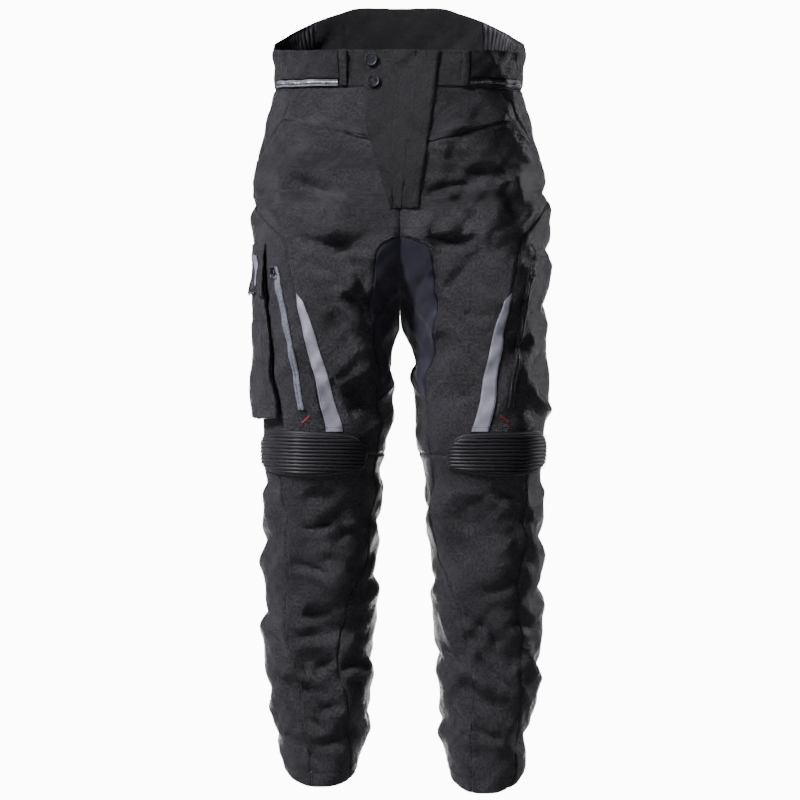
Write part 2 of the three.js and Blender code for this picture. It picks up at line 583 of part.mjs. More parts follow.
function sliderGeometry() {
  const half = SLIDER.wide / 2;
  const body = new THREE.Shape([
    new THREE.Vector2(-half * TAPER, -SLIDER.long / 2),
    new THREE.Vector2(half * TAPER, -SLIDER.long / 2),
    new THREE.Vector2(half, 0),
    new THREE.Vector2(half, SLIDER.long / 2),
    new THREE.Vector2(-half, SLIDER.long / 2),
    new THREE.Vector2(-half, 0),
  ]);
  const plate = new THREE.ExtrudeGeometry(body, { depth: SLIDER.thick, bevelEnabled: false });
  const h = SLIDER.bridgeLong / 2;
  const arch = new THREE.Shape([
    new THREE.Vector2(-h, -ARCH_SUNK),
    new THREE.Vector2(h, -ARCH_SUNK),
    new THREE.Vector2(h, SLIDER.bridgeHigh - SLIDER.bar),
    new THREE.Vector2(h - SLIDER.bar, SLIDER.bridgeHigh),
    new THREE.Vector2(SLIDER.bar - h, SLIDER.bridgeHigh),
    new THREE.Vector2(-h, SLIDER.bridgeHigh - SLIDER.bar),
  ]);
  const gap = h - SLIDER.bar;
  arch.holes.push(new THREE.Path([
    new THREE.Vector2(-gap, 0),
    new THREE.Vector2(-gap, SLIDER.bridgeHigh - SLIDER.bar),
    new THREE.Vector2(gap, SLIDER.bridgeHigh - SLIDER.bar),
    new THREE.Vector2(gap, 0),
  ]));
  const bridge = new THREE.ExtrudeGeometry(arch, { depth: SLIDER.bridgeWide, bevelEnabled: false });
  bridge.translate(0, 0, -SLIDER.bridgeWide / 2);
  bridge.rotateY(-Math.PI / 2);
  bridge.rotateX(Math.PI / 2);
  bridge.translate(0, 0, SLIDER.thick);
  return geometryFrom(solidFrom(plate).add(solidFrom(bridge)));
}

// A group that sits on the cloth with z along its normal and y up the zip
function frameOnCloth(leg, x, z, lift, alongX, alongZ) {
  const turn = turnAt(leg, z, x);
  const origin = clothPoint(leg, turn, z, lift);
  const out = clothPoint(leg, turn, z, lift + 1).sub(origin).normalize();
  const upZip = clothPoint(leg, turnAt(leg, z + alongZ, x + alongX), z + alongZ, lift).sub(origin);
  const across = upZip.clone().cross(out).normalize();
  const up = out.clone().cross(across);
  const group = new THREE.Group();
  group.applyMatrix4(new THREE.Matrix4().makeBasis(across, up, out).setPosition(origin));
  trousers.add(group);
  return group;
}

function addSlider(leg) {
  const zip = ZIP[leg];
  const slope = (zip.topX - zip.bottomX) / (zip.topZ - zip.bottomZ);
  const down = SLIDER.long / 2 + 1;
  const lift = ZIP.lie + TRIM + SLIDER.clear;
  const step = SLIDER.bar * 4;
  const group = frameOnCloth(leg, zip.topX - slope * down, zip.topZ - down, lift, slope * step, step);
  addMesh(`slider_${leg}`, sliderGeometry(), GUNMETAL, group);
  const ring = new THREE.TorusGeometry(RING.radius, RING.wire, 6, 16);
  ring.translate(0, -RING.radius, SLIDER.thick + RING.underBridge);
  addMesh(`pull_ring_${leg}`, ring, GUNMETAL, group);
}

// Ribbed knee panel: share across from its inner end, with the heights of its top and bottom edge
const KNEE_EDGE = [
  { z: 0, top: -541, bottom: -560 }, { z: -0.04, top: -529, bottom: -562 },
  { z: -0.12, top: -516, bottom: -564 }, { z: -0.24, top: -511, bottom: -567 },
  { z: -0.5, top: -509, bottom: -570 }, { z: -0.76, top: -509, bottom: -567 },
  { z: -0.9, top: -513, bottom: -563 }, { z: -0.96, top: -520, bottom: -559 },
  { z: -1, top: -534, bottom: -554 },
];
const KNEE_SHARES = [0, 0.04, 0.12, 0.2, 0.28, 0.36, 0.44, 0.52, 0.6, 0.68, 0.76, 0.84, 0.9, 0.96, 1];
const KNEE = {
  right: { inner: 50, outerTurn: 166 }, left: { inner: 66, outerTurn: 166 }, ribs: 13, pad: 3.2, rib: 1.7,
};

function addKneePanel(leg) {
  const top = column(KNEE_EDGE, "top");
  const bottom = column(KNEE_EDGE, "bottom");
  const innerTurn = turnAt(leg, KNEE_SEAM, KNEE[leg].inner);
  const rows = 2 * KNEE.ribs;
  const at = (i, share, lift) => {
    const z = mix(top(-share), bottom(-share), i / rows);
    return clothPoint(leg, mix(innerTurn, KNEE[leg].outerTurn, share), z, lift);
  };
  const rowList = Array.from({ length: rows + 1 }, (_, i) => i);
  const liftOf = (i) => KNEE.pad + (i % 2) * KNEE.rib;
  const outside = rowList.map((i) => KNEE_SHARES.map((share) => at(i, share, liftOf(i))));
  const inside = rowList.map((i) => KNEE_SHARES.map((share) => at(i, share, LIE + 0.1)));
  addMesh(`knee_panel_${leg}`, sheetGeometry(outside, inside), RIB_BLACK);
}

// Waist: places round it are degrees from the middle of the front, positive towards the wearer's left.
// In the table z is that angle with a minus, so that its rows run downwards like the others.
const WAIST_TOP = [
  { z: 0, top: -8 }, { z: -45, top: -7 }, { z: -70, top: -4 }, { z: -86, top: 0 }, { z: -100, top: 8 },
  { z: -112, top: 15 }, { z: -124, top: 25 }, { z: -138, top: 41 }, { z: -150, top: 53 },
  { z: -160, top: 61 }, { z: -180, top: 61 },
];
const WAIST_FOOT = WAIST_SEAM + 0.55; // where the waist pieces start, clear of the panels below
const FRONT_BAND_END = 84;
const ELASTIC_END = 138;
const BAND = CLOTH + 0.6;
const ELASTIC = { columns: 26, rib: 1.6, sunk: 1 };
const FACING = { gap: 0.35, thick: 0.95, short: 1, inset: 0.4 };
const waistTop = column(WAIST_TOP, "top");

function waistPoint(angle, z, lift) {
  const leg = angle < 0 ? "right" : "left";
  return clothPoint(leg, 90 + Math.abs(angle), z, lift);
}

function waistGrid(fromAngle, toAngle, columns, rows, low, high, ribs = 0, drop = 0) {
  const side = (lift, ribbed) =>
    Array.from({ length: rows + 1 }, (_, i) =>
      Array.from({ length: columns + 1 }, (_, j) => {
        const angle = mix(fromAngle, toAngle, j / columns);
        const z = mix(WAIST_FOOT, waistTop(-Math.abs(angle)) - drop, i / rows);
        const p = waistPoint(angle, z, lift + (ribbed && j % 2 ? ribs : 0));
        if (Math.abs(Math.abs(angle) - 180) < 0.01) p.x = 0;
        return p;
      }),
    );
  return sheetGeometry(side(high, true), side(low, false));
}

function addWaist() {
  const gapAngle = 0.16;
  for (const leg of SIDES) {
    const s = SIGN[leg];
    const band = waistGrid(s * gapAngle, s * (FRONT_BAND_END - gapAngle), 10, 3, -BAND, 0);
    addMesh(`front_band_${leg}`, band, CLOTH_BLACK);
    const start = s * FRONT_BAND_END;
    const end = s * (ELASTIC_END - gapAngle);
    const elastic = waistGrid(start, end, ELASTIC.columns, 2, -BAND, -ELASTIC.sunk, ELASTIC.rib);
    addMesh(`elastic_${leg}`, elastic, RIB_BLACK);
  }
  addMesh("back_band", backArc(ELASTIC_END, 12, 2, -BAND, 0, 0), CLOTH_BLACK);
  const outside = -BAND - FACING.gap;
  const facing = backArc(ELASTIC_END + FACING.inset, 12, 2, outside - FACING.thick, outside, FACING.short);
  addMesh("back_facing", facing, CLOTH_BLACK);
}

// An arc across the middle of the back, from one elastic to the other
function backArc(startAngle, columns, rows, low, high, drop) {
  const side = (lift) =>
    Array.from({ length: rows + 1 }, (_, i) =>
      Array.from({ length: columns + 1 }, (_, j) => {
        const round = mix(startAngle, 360 - startAngle, j / columns);
        const angle = round <= 180 ? round : round - 360;
        const z = mix(WAIST_FOOT, waistTop(-Math.abs(angle)) - drop, i / rows);
        const p = waistPoint(angle, z, lift);
        if (Math.abs(round - 180) < 0.01) p.x = 0;
        return p;
      }),
    );
  return sheetGeometry(side(high), side(low));
}

// Fly flap: its two long edges, as distances from the middle, positive towards the wearer's left
const FLY_EDGE = [
  { z: -8, left: -50, right: 51 }, { z: -50, left: -47, right: 46 }, { z: -80, left: -46, right: 42 },
  { z: -112, left: -45, right: 38 }, { z: -135, left: -37, right: 34 }, { z: -165, left: -28, right: 30 },
  { z: -190, left: -21, right: 26 }, { z: -215, left: -15, right: 23 },
];
const FLY_LIE = 0.95;
const FLY_ROWS = [-8.5, -30, -52, -68, -80, -107, -135, -165, -190, -215];
const FLY_SHARES = [0, 0.33, 0.66, 1];

function frontPoint(x, z, lift) {
  const leg = x < 0 ? "right" : "left";
  const p = clothPoint(leg, turnAt(leg, z, Math.abs(x)), z, lift);
  if (Math.abs(x) < 1) p.set(x, p.y, z);
  return p;
}

function addFly() {
  const left = column(FLY_EDGE, "left");
  const right = column(FLY_EDGE, "right");
  const across = (z) => [
    ...FLY_SHARES.map((s) => left(z) * (1 - s)),
    ...FLY_SHARES.slice(1).map((s) => right(z) * s),
  ];
  const side = (lift) => FLY_ROWS.map((z) => across(z).map((x) => frontPoint(x, z, lift)));
  addMesh("fly_flap", sheetGeometry(side(FLY_LIE + CLOTH), side(FLY_LIE)), CLOTH_BLACK);
}

// Snap buttons on the fly
const SNAPS = [{ name: "snap_upper", x: -37, z: -21 }, { name: "snap_lower", x: -34.5, z: -50 }];
const SNAP_RADIUS = 8.8;
const SNAP_SEAT = 0.65; // its flat back, over the cloth it rounds
const SNAP_PROFILE = [
  { r: 0, h: 0 }, { r: 7.2, h: 0 }, { r: SNAP_RADIUS, h: 0.7 }, { r: SNAP_RADIUS, h: 1.7 },
  { r: 7.6, h: 2.6 }, { r: 6, h: 2.2 }, { r: 0, h: 2.3 },
];

function addSnaps() {
  for (const snap of SNAPS) {
    const cap = new THREE.LatheGeometry(SNAP_PROFILE.map((p) => new THREE.Vector2(p.r, p.h)), 16);
    cap.rotateX(Math.PI / 2);
    const at = frontPoint(snap.x, snap.z, FLY_LIE + CLOTH + SNAP_SEAT);
    const out = frontPoint(snap.x, snap.z, FLY_LIE + CLOTH + 5).sub(at).normalize();
    const button = addMesh(snap.name, cap, GUNMETAL);
    button.position.copy(at);
    button.quaternion.setFromUnitVectors(new THREE.Vector3(0, 0, 1), out);
  }
}

// Pieces on the front band: distances from the middle and heights of each
const BAND_TRIM = {
  right: { loop: [70, 79], tab: [80.5, 157], tabTop: -8, tabBottom: -44, zip: [82, 163] },
  left: { loop: [81, 90], tab: [91.5, 157], tabTop: -7, tabBottom: -43, zip: [92, 160] },
};

const LOOP_THICK = 2.8; // the doubled webbing stands proud of the band
const TAB_THICK = 2.0;
const TRIM_LIE = 0.7;

function addBandTrim(leg) {
  const trim = BAND_TRIM[leg];
  const straight = (x) => (z) => turnAt(leg, z, x);
  const patch = (name, [near, far], heights, columns, thickness, finish) =>
    addStrip(
      `${name}_${leg}`, leg, heights, straight(near), straight(far), columns, thickness, finish, TRIM_LIE,
    );
  patch("belt_loop", trim.loop, [-8, -23, -38, -54], 1, LOOP_THICK, CLOTH_BLACK);
  patch("waist_tab", trim.tab, [trim.tabTop, -20, -32, trim.tabBottom], 9, TAB_THICK, CLOTH_BLACK);
  patch("waist_zip", trim.zip, [trim.tabBottom - 2, -50, -54.5], 10, TRIM, ZIP_GREY);
}

// Cargo pocket on the outside of the right thigh: a tray of cloth, open towards the leg, under its flap.
// Its face overhangs the seam that joins it to the leg, and it is flat at the mouth and full at the foot.
const CARGO = {
  top: -282, bottom: -494, rear: 222, stand: 16, wall: 1.6, inset: 4, flapTop: -262, flapBottom: -330,
  flapRows: 5, frontTop: 149, frontBottom: 130, clear: 1.3, flapRise: 20, margin: 1.5,
};
// Shares of its full height: at the mouth, gained below the mouth, and gained on the way to the foot
const CARGO_RISE = { mouth: 0.15, gained: 0.45, within: 0.24, foot: 0.4, edge: 0.78 };

function cargoFront(z) {
  return mix(CARGO.frontTop, CARGO.frontBottom, (CARGO.top - z) / (CARGO.top - CARGO.bottom));
}

function cargoRise(z) {
  const v = (CARGO.top - z) / (CARGO.top - CARGO.bottom);
  const gained = CARGO_RISE.gained * smoothstep(v, 0, CARGO_RISE.within);
  return CARGO.stand * (CARGO_RISE.mouth + gained + CARGO_RISE.foot * smoothstep(v, CARGO_RISE.within, 1));
}

function addCargoPocket() {
  const leg = "right";
  const rows = 9;
  const columns = 9;
  const tray = (shrink, sink) =>
    Array.from({ length: rows + 3 }, (_, i) =>
      Array.from({ length: columns + 3 }, (_, j) => {
        const v = THREE.MathUtils.clamp((i - 1) / rows, 0, 1);
        const u = THREE.MathUtils.clamp((j - 1) / columns, 0, 1);
        const rim = i === 0 || j === 0 || i === rows + 2 || j === columns + 2;
        const drawn = shrink + (rim ? CARGO.inset : 0);
        const z = mix(CARGO.top - drawn, CARGO.bottom + drawn, v);
        const perMm = degreesPerMm(leg, 180, z);
        const turn = mix(cargoFront(z) + drawn * perMm, CARGO.rear - drawn * perMm, u);
        const full = mix(CARGO_RISE.edge, 1, Math.sin(Math.PI * u));
        return clothPoint(leg, turn, z, rim ? LIE : Math.max(cargoRise(z) * full - sink, LIE + 0.1));
      }),
    );
  addMesh("cargo_pocket", sheetGeometry(tray(0, 0), tray(CARGO.wall, CARGO.wall)), CLOTH_BLACK);

  const flapColumns = 8;
  const flap = (lift) =>
    Array.from({ length: CARGO.flapRows + 1 }, (_, i) =>
      Array.from({ length: flapColumns + 1 }, (_, j) => {
        const z = flapHeight(i);
        const near = cargoFront(Math.min(z, CARGO.top)) - CARGO.margin;
        const turn = mix(near, CARGO.rear + CARGO.margin, j / flapColumns);
        return clothPoint(leg, turn, z, flapLift(z) + lift);
      }),
    );
  addMesh("cargo_flap", sheetGeometry(flap(CARGO.wall), flap(0)), CLOTH_BLACK);
}

function flapHeight(row) {
  return mix(CARGO.flapTop, CARGO.flapBottom, row / CARGO.flapRows);
}

// The flap starts on the cloth and rises over the pocket
function flapLift(z) {
  return smoothstep(CARGO.flapTop - z, 0, CARGO.flapRise) * (cargoRise(z) + CARGO.clear) + LIE;
}

// Narrow reflector on the face of the cargo flap, running down to a tip
const REFLECTOR = { rows: [1, 2, 3, 4], turn: 154, wideTop: 7, wideBottom: 3, lie: 0.5 };

function addSideReflector() {
  const side = (lift) =>
    REFLECTOR.rows.map((row) => {
      const z = flapHeight(row);
      const down = (row - REFLECTOR.rows[0]) / (REFLECTOR.rows.length - 1);
      const wide = mix(REFLECTOR.wideTop, REFLECTOR.wideBottom, down);
      return [0, 0.5, 1].map((share) =>
        clothPoint("right", REFLECTOR.turn + share * wide, z, flapLift(z) + CARGO.wall + lift),
      );
    });
  addMesh("side_reflector", sheetGeometry(side(REFLECTOR.lie + TRIM / 2), side(REFLECTOR.lie)), REFLECTIVE);
}

for (const leg of SIDES) {
  addLegPanels(leg);
  addStripAndZip(leg);
  addSlider(leg);
  addKneePanel(leg);
  addBandTrim(leg);
}
addWaist();
addFly();
addSnaps();
addCargoPocket();
addSideReflector();

export default trousers;
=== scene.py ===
# %% [markdown]
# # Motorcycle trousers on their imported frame
# Textile riding trousers, filled out with nobody in them, open at the waist and the hems. The frame carries
# the joints and the collision. Its solids are plain and coarse, so here each of them is replaced by a thin
# shell on the same surface, with creases, seams, stitches and woven cloth. The sums are in millimetres, as
# in the part, and each mesh is written in metres. +Z is up, the front faces -Y, and the left leg is at +X.

# %% Load the frame
import math
import bpy
import numpy as np
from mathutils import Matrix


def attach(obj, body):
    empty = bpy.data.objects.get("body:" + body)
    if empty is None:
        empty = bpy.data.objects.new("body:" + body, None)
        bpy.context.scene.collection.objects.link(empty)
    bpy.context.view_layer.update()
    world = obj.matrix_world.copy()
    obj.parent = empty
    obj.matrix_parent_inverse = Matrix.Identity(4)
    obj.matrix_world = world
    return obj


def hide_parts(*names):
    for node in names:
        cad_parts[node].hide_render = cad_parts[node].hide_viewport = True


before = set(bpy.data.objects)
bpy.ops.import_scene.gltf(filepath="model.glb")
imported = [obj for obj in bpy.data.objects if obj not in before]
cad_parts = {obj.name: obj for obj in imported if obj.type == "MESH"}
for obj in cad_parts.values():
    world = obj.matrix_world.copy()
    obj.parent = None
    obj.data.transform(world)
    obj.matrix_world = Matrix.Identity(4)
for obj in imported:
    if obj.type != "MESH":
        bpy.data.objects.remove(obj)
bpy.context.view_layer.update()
MM = 0.001

# %% [markdown]
# ## The camera
# A garment is photographed from far off with a long lens, so that its waist and its hems are both seen almost
# level and nothing is drawn large by being near. This camera stands four and a half metres away. Its lens
# follows from how much width has to fit: focal length over sensor width is distance over that width.

# %% Camera
AIM_HEIGHT = -0.4725
DISTANCE = 4.5
ELEVATION = math.radians(2.5)
FRAME_WIDTH = 1.08
SENSOR = 36

camera_data = bpy.data.cameras.new("camera")
camera_data.sensor_width = SENSOR
camera_data.lens = SENSOR * DISTANCE / FRAME_WIDTH
camera = bpy.data.objects.new("camera", camera_data)
camera.location = (0, -DISTANCE * math.cos(ELEVATION), AIM_HEIGHT + DISTANCE * math.sin(ELEVATION))
camera.rotation_euler = (math.pi / 2 - ELEVATION, 0, 0)
bpy.context.collection.objects.link(camera)
bpy.context.scene.camera = camera
print("lens:", round(camera_data.lens, 1), "mm")

# %% [markdown]
# ## Sockets that add and multiply
# A material is a formula over the surface, but a node tree hides the formula in its links. This small class
# wraps one output socket and gives it arithmetic, so that `weave * 0.1 + grain` makes its own Math nodes.
# The reflected forms let a plain number stand on the left.


# %% Socket arithmetic
class Sock:
    """One output socket. Arithmetic on it makes Math nodes."""

    def __init__(self, tree, out):
        self.tree, self.out = tree, out

    def math(self, operation, other=None, flip=False):
        """One Math node on this socket and another socket or number, the other way round if flip is set."""
        node = self.tree.nodes.new("ShaderNodeMath")
        node.operation = operation
        pair = [self, other] if not flip else [other, self]
        for socket, value in zip(node.inputs, pair):
            if isinstance(value, Sock):
                self.tree.links.new(value.out, socket)
            elif value is not None:
                socket.default_value = value
        return Sock(self.tree, node.outputs[0])

    def __add__(self, other):
        return self.math("ADD", other)

    def __radd__(self, other):
        return self.math("ADD", other, True)

    def __sub__(self, other):
        return self.math("SUBTRACT", other)

    def __rsub__(self, other):
        return self.math("SUBTRACT", other, True)

    def __mul__(self, other):
        return self.math("MULTIPLY", other)

    def __rmul__(self, other):
        return self.math("MULTIPLY", other, True)

    def __truediv__(self, other):
        return self.math("DIVIDE", other)

    def __rtruediv__(self, other):
        return self.math("DIVIDE", other, True)

    def sine(self):
        return self.math("SINE")

    def absolute(self):
        return self.math("ABSOLUTE")


# %% [markdown]
# ## One method that makes any node
# Every other node comes from `node`. It takes the node's kind, its settings, a ramp's stops, and then the
# value or the link of each socket by its name. `Paint` adds what a surface needs: a Principled shader that
# takes the sockets.


# %% Node trees and paints
class Nodes:
    """A node tree, with one method that makes any node in it and short names for those used most."""

    def __init__(self, tree):
        self.tree = tree

    def node(self, kind, output=0, settings=None, stops=(), **inputs):
        """A node with its settings and ramp stops set first, then its sockets; returns one of its outputs."""
        made = self.tree.nodes.new(kind)
        for key, value in (settings or {}).items():
            setattr(made, key, value)
        for index, (position, colour) in enumerate(stops):
            made.color_ramp.elements[index].position = position
            made.color_ramp.elements[index].color = (*colour, 1)
        for key, value in inputs.items():
            socket = made.inputs[key.replace("_", " ")]
            if isinstance(value, Sock):
                self.tree.links.new(value.out, socket)
            else:
                socket.default_value = value
        return Sock(self.tree, made.outputs[output])

    def split(self, vector):
        """The x, y and z of a vector, each as its own socket."""
        parts = self.node("ShaderNodeSeparateXYZ", Vector=vector).out.node.outputs
        return [Sock(self.tree, part) for part in parts]

    def noise(self, where, scale, detail=2.0):
        return self.node("ShaderNodeTexNoise", Vector=where, Scale=scale, Detail=detail)

    def ramp(self, value, low, high, dark, light):
        """A colour from dark to light as value goes from low to high."""
        return self.node("ShaderNodeValToRGB", stops=[(low, dark), (high, light)], Fac=value)


class Paint(Nodes):
    """One material with a Principled shader, whose constant values are given by name."""

    def __init__(self, name, **constants):
        self.material = bpy.data.materials.new(name)
        self.material.use_nodes = True
        super().__init__(self.material.node_tree)
        self.shader = self.tree.nodes["Principled BSDF"]
        for key, value in constants.items():
            self.shader.inputs[key.replace("_", " ")].default_value = value

    def use(self, name, value):
        """Link a socket to one of the shader's inputs."""
        self.tree.links.new(value.out, self.shader.inputs[name])

    def bump(self, height, strength, distance):
        """Turn a height into a bent normal."""
        self.use("Normal", self.node("ShaderNodeBump", Height=height, Strength=strength, Distance=distance))

    def own_place(self):
        """A point's place in the object's own coordinates, in metres."""
        return self.node("ShaderNodeTexCoord", output=3)


# %% [markdown]
# ## Woven cloth
# Riding trousers are cut from a thick plain weave of black nylon. Up close the threads cross, from a step
# back the slubs give a dry grain, and from further still the cloth has slow patches of tone. A picture of
# cloth would repeat and blur. Two sines that cross, and noise at three sizes, stay sharp at any distance.
# The pattern reads the panel's own UV in metres, so it follows the grain of each cut piece.


# %% Woven cloth
def woven(name, dark, light, pitch, rough, depth=0.0019):
    """Plain weave: the product of two sines a thread apart, with grain, specks and patches of tone added."""
    paint = Paint(name, Sheen_Weight=0.04, Sheen_Roughness=0.4, Specular_IOR_Level=0.42)
    uv = paint.node("ShaderNodeUVMap")
    across, along, _ = paint.split(uv)
    turn = 2 * math.pi / pitch
    weave = ((across * turn).sine() * (along * turn).sine()).absolute()
    grain = paint.noise(uv, scale=300, detail=2.0)
    patch = paint.noise(uv, scale=14, detail=3.0)
    speck = paint.noise(uv, scale=1150, detail=1.0)
    tone = grain * 0.5 + speck * 0.22 + patch * 0.2 + weave * 0.08
    paint.use("Base Color", paint.ramp(tone, 0.42, 0.58, dark, light))
    paint.use("Roughness", rough + grain * 0.30 - patch * 0.12 - 0.06)
    paint.bump(weave * 0.1 + grain + speck * 0.15, strength=1.0, distance=depth)
    return paint.material


CLOTH = woven("cloth_black", (0.004, 0.004, 0.005), (0.036, 0.036, 0.042), pitch=0.0009, rough=0.40)
BAND_CLOTH = woven("cloth_band", (0.003, 0.003, 0.004), (0.020, 0.020, 0.023), pitch=0.0008, rough=0.47)
LINING = woven("cloth_lining", (0.003, 0.003, 0.004), (0.008, 0.008, 0.009), pitch=0.0006, rough=0.75)
# Zip tape: the grey is the tape's own colour. The dark copy below is the same tape with painted shade, for the
# leg that faces away from the key light.
ZIP_TAPE = woven("zip_tape_grey", (0.10, 0.107, 0.13), (0.21, 0.22, 0.26), 0.0005, 0.42, depth=0.0006)
ZIP_TAPE_SHADED = woven("zip_tape_painted_shade", (0.012, 0.012, 0.015), (0.035, 0.036, 0.042), 0.0005, 0.3, depth=0.0006)
print("woven:", len(bpy.data.materials))

# %% [markdown]
# ## Stretch cloth
# The crotch gusset is a navy knit, and the knees and elastics are a rubbery rib. Both are made of short
# level courses. The large ribs are in the mesh, so the material only adds the fine ones between them.


# %% Stretch cloth
def ribbed_cloth(name, dark, light, rough):
    """Knit: level courses from the size of a sine along the cloth, and a fine grain."""
    paint = Paint(name, Sheen_Weight=0.2, Sheen_Roughness=0.45, Specular_IOR_Level=0.3)
    uv = paint.node("ShaderNodeUVMap")
    _, along, _ = paint.split(uv)
    course_pitch = 0.0016
    course = (along * (2 * math.pi / course_pitch)).sine().absolute()
    grain = paint.noise(uv, scale=900, detail=2.0)
    paint.use("Base Color", paint.ramp(course * 0.4 + grain * 0.6, 0.3, 0.8, dark, light))
    paint.use("Roughness", rough + grain * 0.15)
    paint.bump(course * 0.6 + grain * 0.5, strength=0.3, distance=0.0003)
    return paint.material


STRETCH = ribbed_cloth("stretch_navy", (0.008, 0.0085, 0.016), (0.020, 0.021, 0.036), rough=0.6)
RIB = ribbed_cloth("rib_black", (0.006, 0.006, 0.0075), (0.018, 0.018, 0.022), rough=0.42)
print("stretch cloths:", STRETCH.name, RIB.name)

# %% [markdown]
# ## Reflective tape
# Its glass beads send light back to where it came from, which no simple shader does. In daylight the tape is
# only a pale grey with a faint shine, finely speckled and scuffed in patches. So a little metal is enough.


# %% Reflective tape
def reflective_tape(name, dark, light):
    """Pale grey from specks and scuffs, which also give it its roughness and its bumps."""
    paint = Paint(name, Metallic=0.25, Specular_IOR_Level=0.5)
    uv = paint.node("ShaderNodeUVMap")
    speck = paint.noise(uv, scale=1500, detail=1.0)
    scuff = paint.noise(uv, scale=45, detail=4.0)
    paint.use("Base Color", paint.ramp(speck * 0.35 + scuff * 0.65, 0.35, 0.68, dark, light))
    paint.use("Roughness", 0.34 + scuff * 0.2)
    paint.bump(speck * 0.3 + scuff, strength=0.35, distance=0.0005)
    return paint.material


TAPE = reflective_tape("tape_reflective", (0.24, 0.245, 0.28), (0.50, 0.515, 0.58))
print("tape:", TAPE.name)

# %% [markdown]
# ## Metal and thread
# The snaps, sliders and rings are blackened metal, brighter where hands rub it. Thread is a tight twist that
# shows as fine streaks. Both sit on small pieces with no UV of their own, so they read object coordinates.


# %% Metal and thread
def metal(name, dark, light, rough):
    """Dark metal, where noise lightens and roughens the places that are worn."""
    paint = Paint(name, Metallic=0.85)
    wear = paint.noise(paint.own_place(), scale=220, detail=4.0)
    paint.use("Base Color", paint.ramp(wear, 0.42, 0.66, dark, light))
    paint.use("Roughness", rough + wear * 0.2)
    paint.bump(wear, strength=0.15, distance=0.0002)
    return paint.material


def thread(name, dark, light):
    """Thread, where very fine noise stands for the twist."""
    paint = Paint(name, Specular_IOR_Level=0.4)
    twist = paint.noise(paint.own_place(), scale=2500, detail=1.0)
    paint.use("Base Color", paint.ramp(twist, 0.35, 0.7, dark, light))
    paint.use("Roughness", 0.5 + twist * 0.2)
    paint.bump(twist, strength=0.3, distance=0.0002)
    return paint.material


GUNMETAL = metal("gunmetal", (0.045, 0.048, 0.055), (0.12, 0.125, 0.14), rough=0.25)
SNAP_METAL = metal("snap_black", (0.020, 0.022, 0.026), (0.055, 0.058, 0.066), rough=0.42)
TEETH = metal("zip_teeth", (0.12, 0.12, 0.13), (0.35, 0.36, 0.38), rough=0.3)
THREAD = thread("thread_black", (0.008, 0.008, 0.009), (0.03, 0.03, 0.034))
RED_THREAD = thread("thread_red", (0.28, 0.015, 0.02), (0.55, 0.06, 0.06))
print("materials:", len(bpy.data.materials))

# %% [markdown]
# ## The surface of the worn garment
# Trousers that are filled out are not two plain tubes. They could be modelled by hand, but here every panel
# has to lie on the same surface and meet its neighbour, so the surface is one function. One table gives the
# outline of each leg in the front view, and one gives its depth from the side. Each height is a rounded
# section, and the legs part from one body into two. A place on the cloth is a turn round the leg in degrees
# (0 inwards, 90 front, 180 outwards, 270 back) and a height.

# %% Tables of the form
SIGN = {"right": -1.0, "left": 1.0}
SIDES = ("right", "left")
SQUARENESS = 2.25
CLOTH_MM = 2.0
TRIM_MM = 1.4
HALF_GAP = 0.03
TUCK = 0.15
LIE = 0.85
WAIST_SEAM, YOKE_CORNER, YOKE_CENTRE, POCKET_END, HIP_CORNER = -57, -96, -138, -165, -190
GUSSET_TOP, CROTCH, GUSSET_TIP, KNEE_SEAM = -252, -350, -470, -542
OUTSEAM, CALF_SEAM = 212, 300
HEM = {"right": -988, "left": -997}
HEM_RISE, HEM_BEND = 22, -900

# Each row: height, distance from the middle
OUTER = {
    "right": [(70, 166), (0, 170), (-53, 168), (-75, 174), (-105, 181), (-140, 190), (-180, 197), (-230, 200),
              (-300, 192), (-350, 189), (-378, 188), (-400, 187), (-440, 186), (-470, 185), (-500, 184),
              (-520, 183), (-545, 183), (-568, 182), (-585, 179), (-612, 185), (-655, 185), (-700, 186),
              (-740, 183), (-785, 186), (-830, 183), (-870, 178), (-905, 172), (-945, 164), (-998, 150)],
    "left": [(70, 163), (0, 168), (-53, 164), (-75, 170), (-105, 177), (-140, 187), (-180, 196), (-240, 203),
             (-290, 202), (-350, 198), (-378, 196), (-410, 198), (-440, 200), (-470, 200), (-500, 196),
             (-520, 193), (-545, 193), (-568, 190), (-585, 190), (-612, 195), (-655, 193), (-700, 193),
             (-740, 193), (-785, 192), (-830, 191), (-870, 187), (-905, 177), (-945, 170), (-975, 169),
             (-1006, 153)],
}
INNER = {
    "right": [(-350, 0.4), (-378, 3), (-400, 9), (-440, 8), (-470, 11), (-500, 9), (-520, 16), (-545, 21),
              (-568, 26), (-585, 24), (-612, 25), (-655, 29), (-700, 31), (-740, 31), (-785, 34), (-830, 37),
              (-870, 40), (-905, 41), (-945, 50), (-998, 63)],
    "left": [(-350, 0.4), (-378, 6), (-410, 17), (-440, 15), (-470, 21), (-500, 22), (-520, 20), (-545, 26),
             (-568, 31), (-585, 35), (-612, 33), (-655, 39), (-700, 42), (-740, 43), (-785, 46), (-830, 50),
             (-870, 53), (-905, 53), (-945, 59), (-975, 64), (-1006, 70)],
}
# Each row: height, front, back
DEPTH = [(70, -106, 106), (0, -112, 108), (-60, -114, 113), (-130, -122, 128), (-200, -126, 139),
         (-270, -124, 139), (-340, -121, 129), (-400, -119, 111), (-470, -116, 93), (-545, -114, 76),
         (-610, -101, 80), (-690, -88, 90), (-780, -80, 94), (-870, -74, 90), (-940, -68, 85),
         (-1006, -62, 80)]
# Each row: height, how far the legs have parted
FORK = [(70, 0), (-135, 0), (-177, 0.03), (-216, 0.1), (-252, 0.27), (-275, 0.44), (-300, 0.66),
        (-325, 0.86), (-340, 0.955), (-350, 1)]
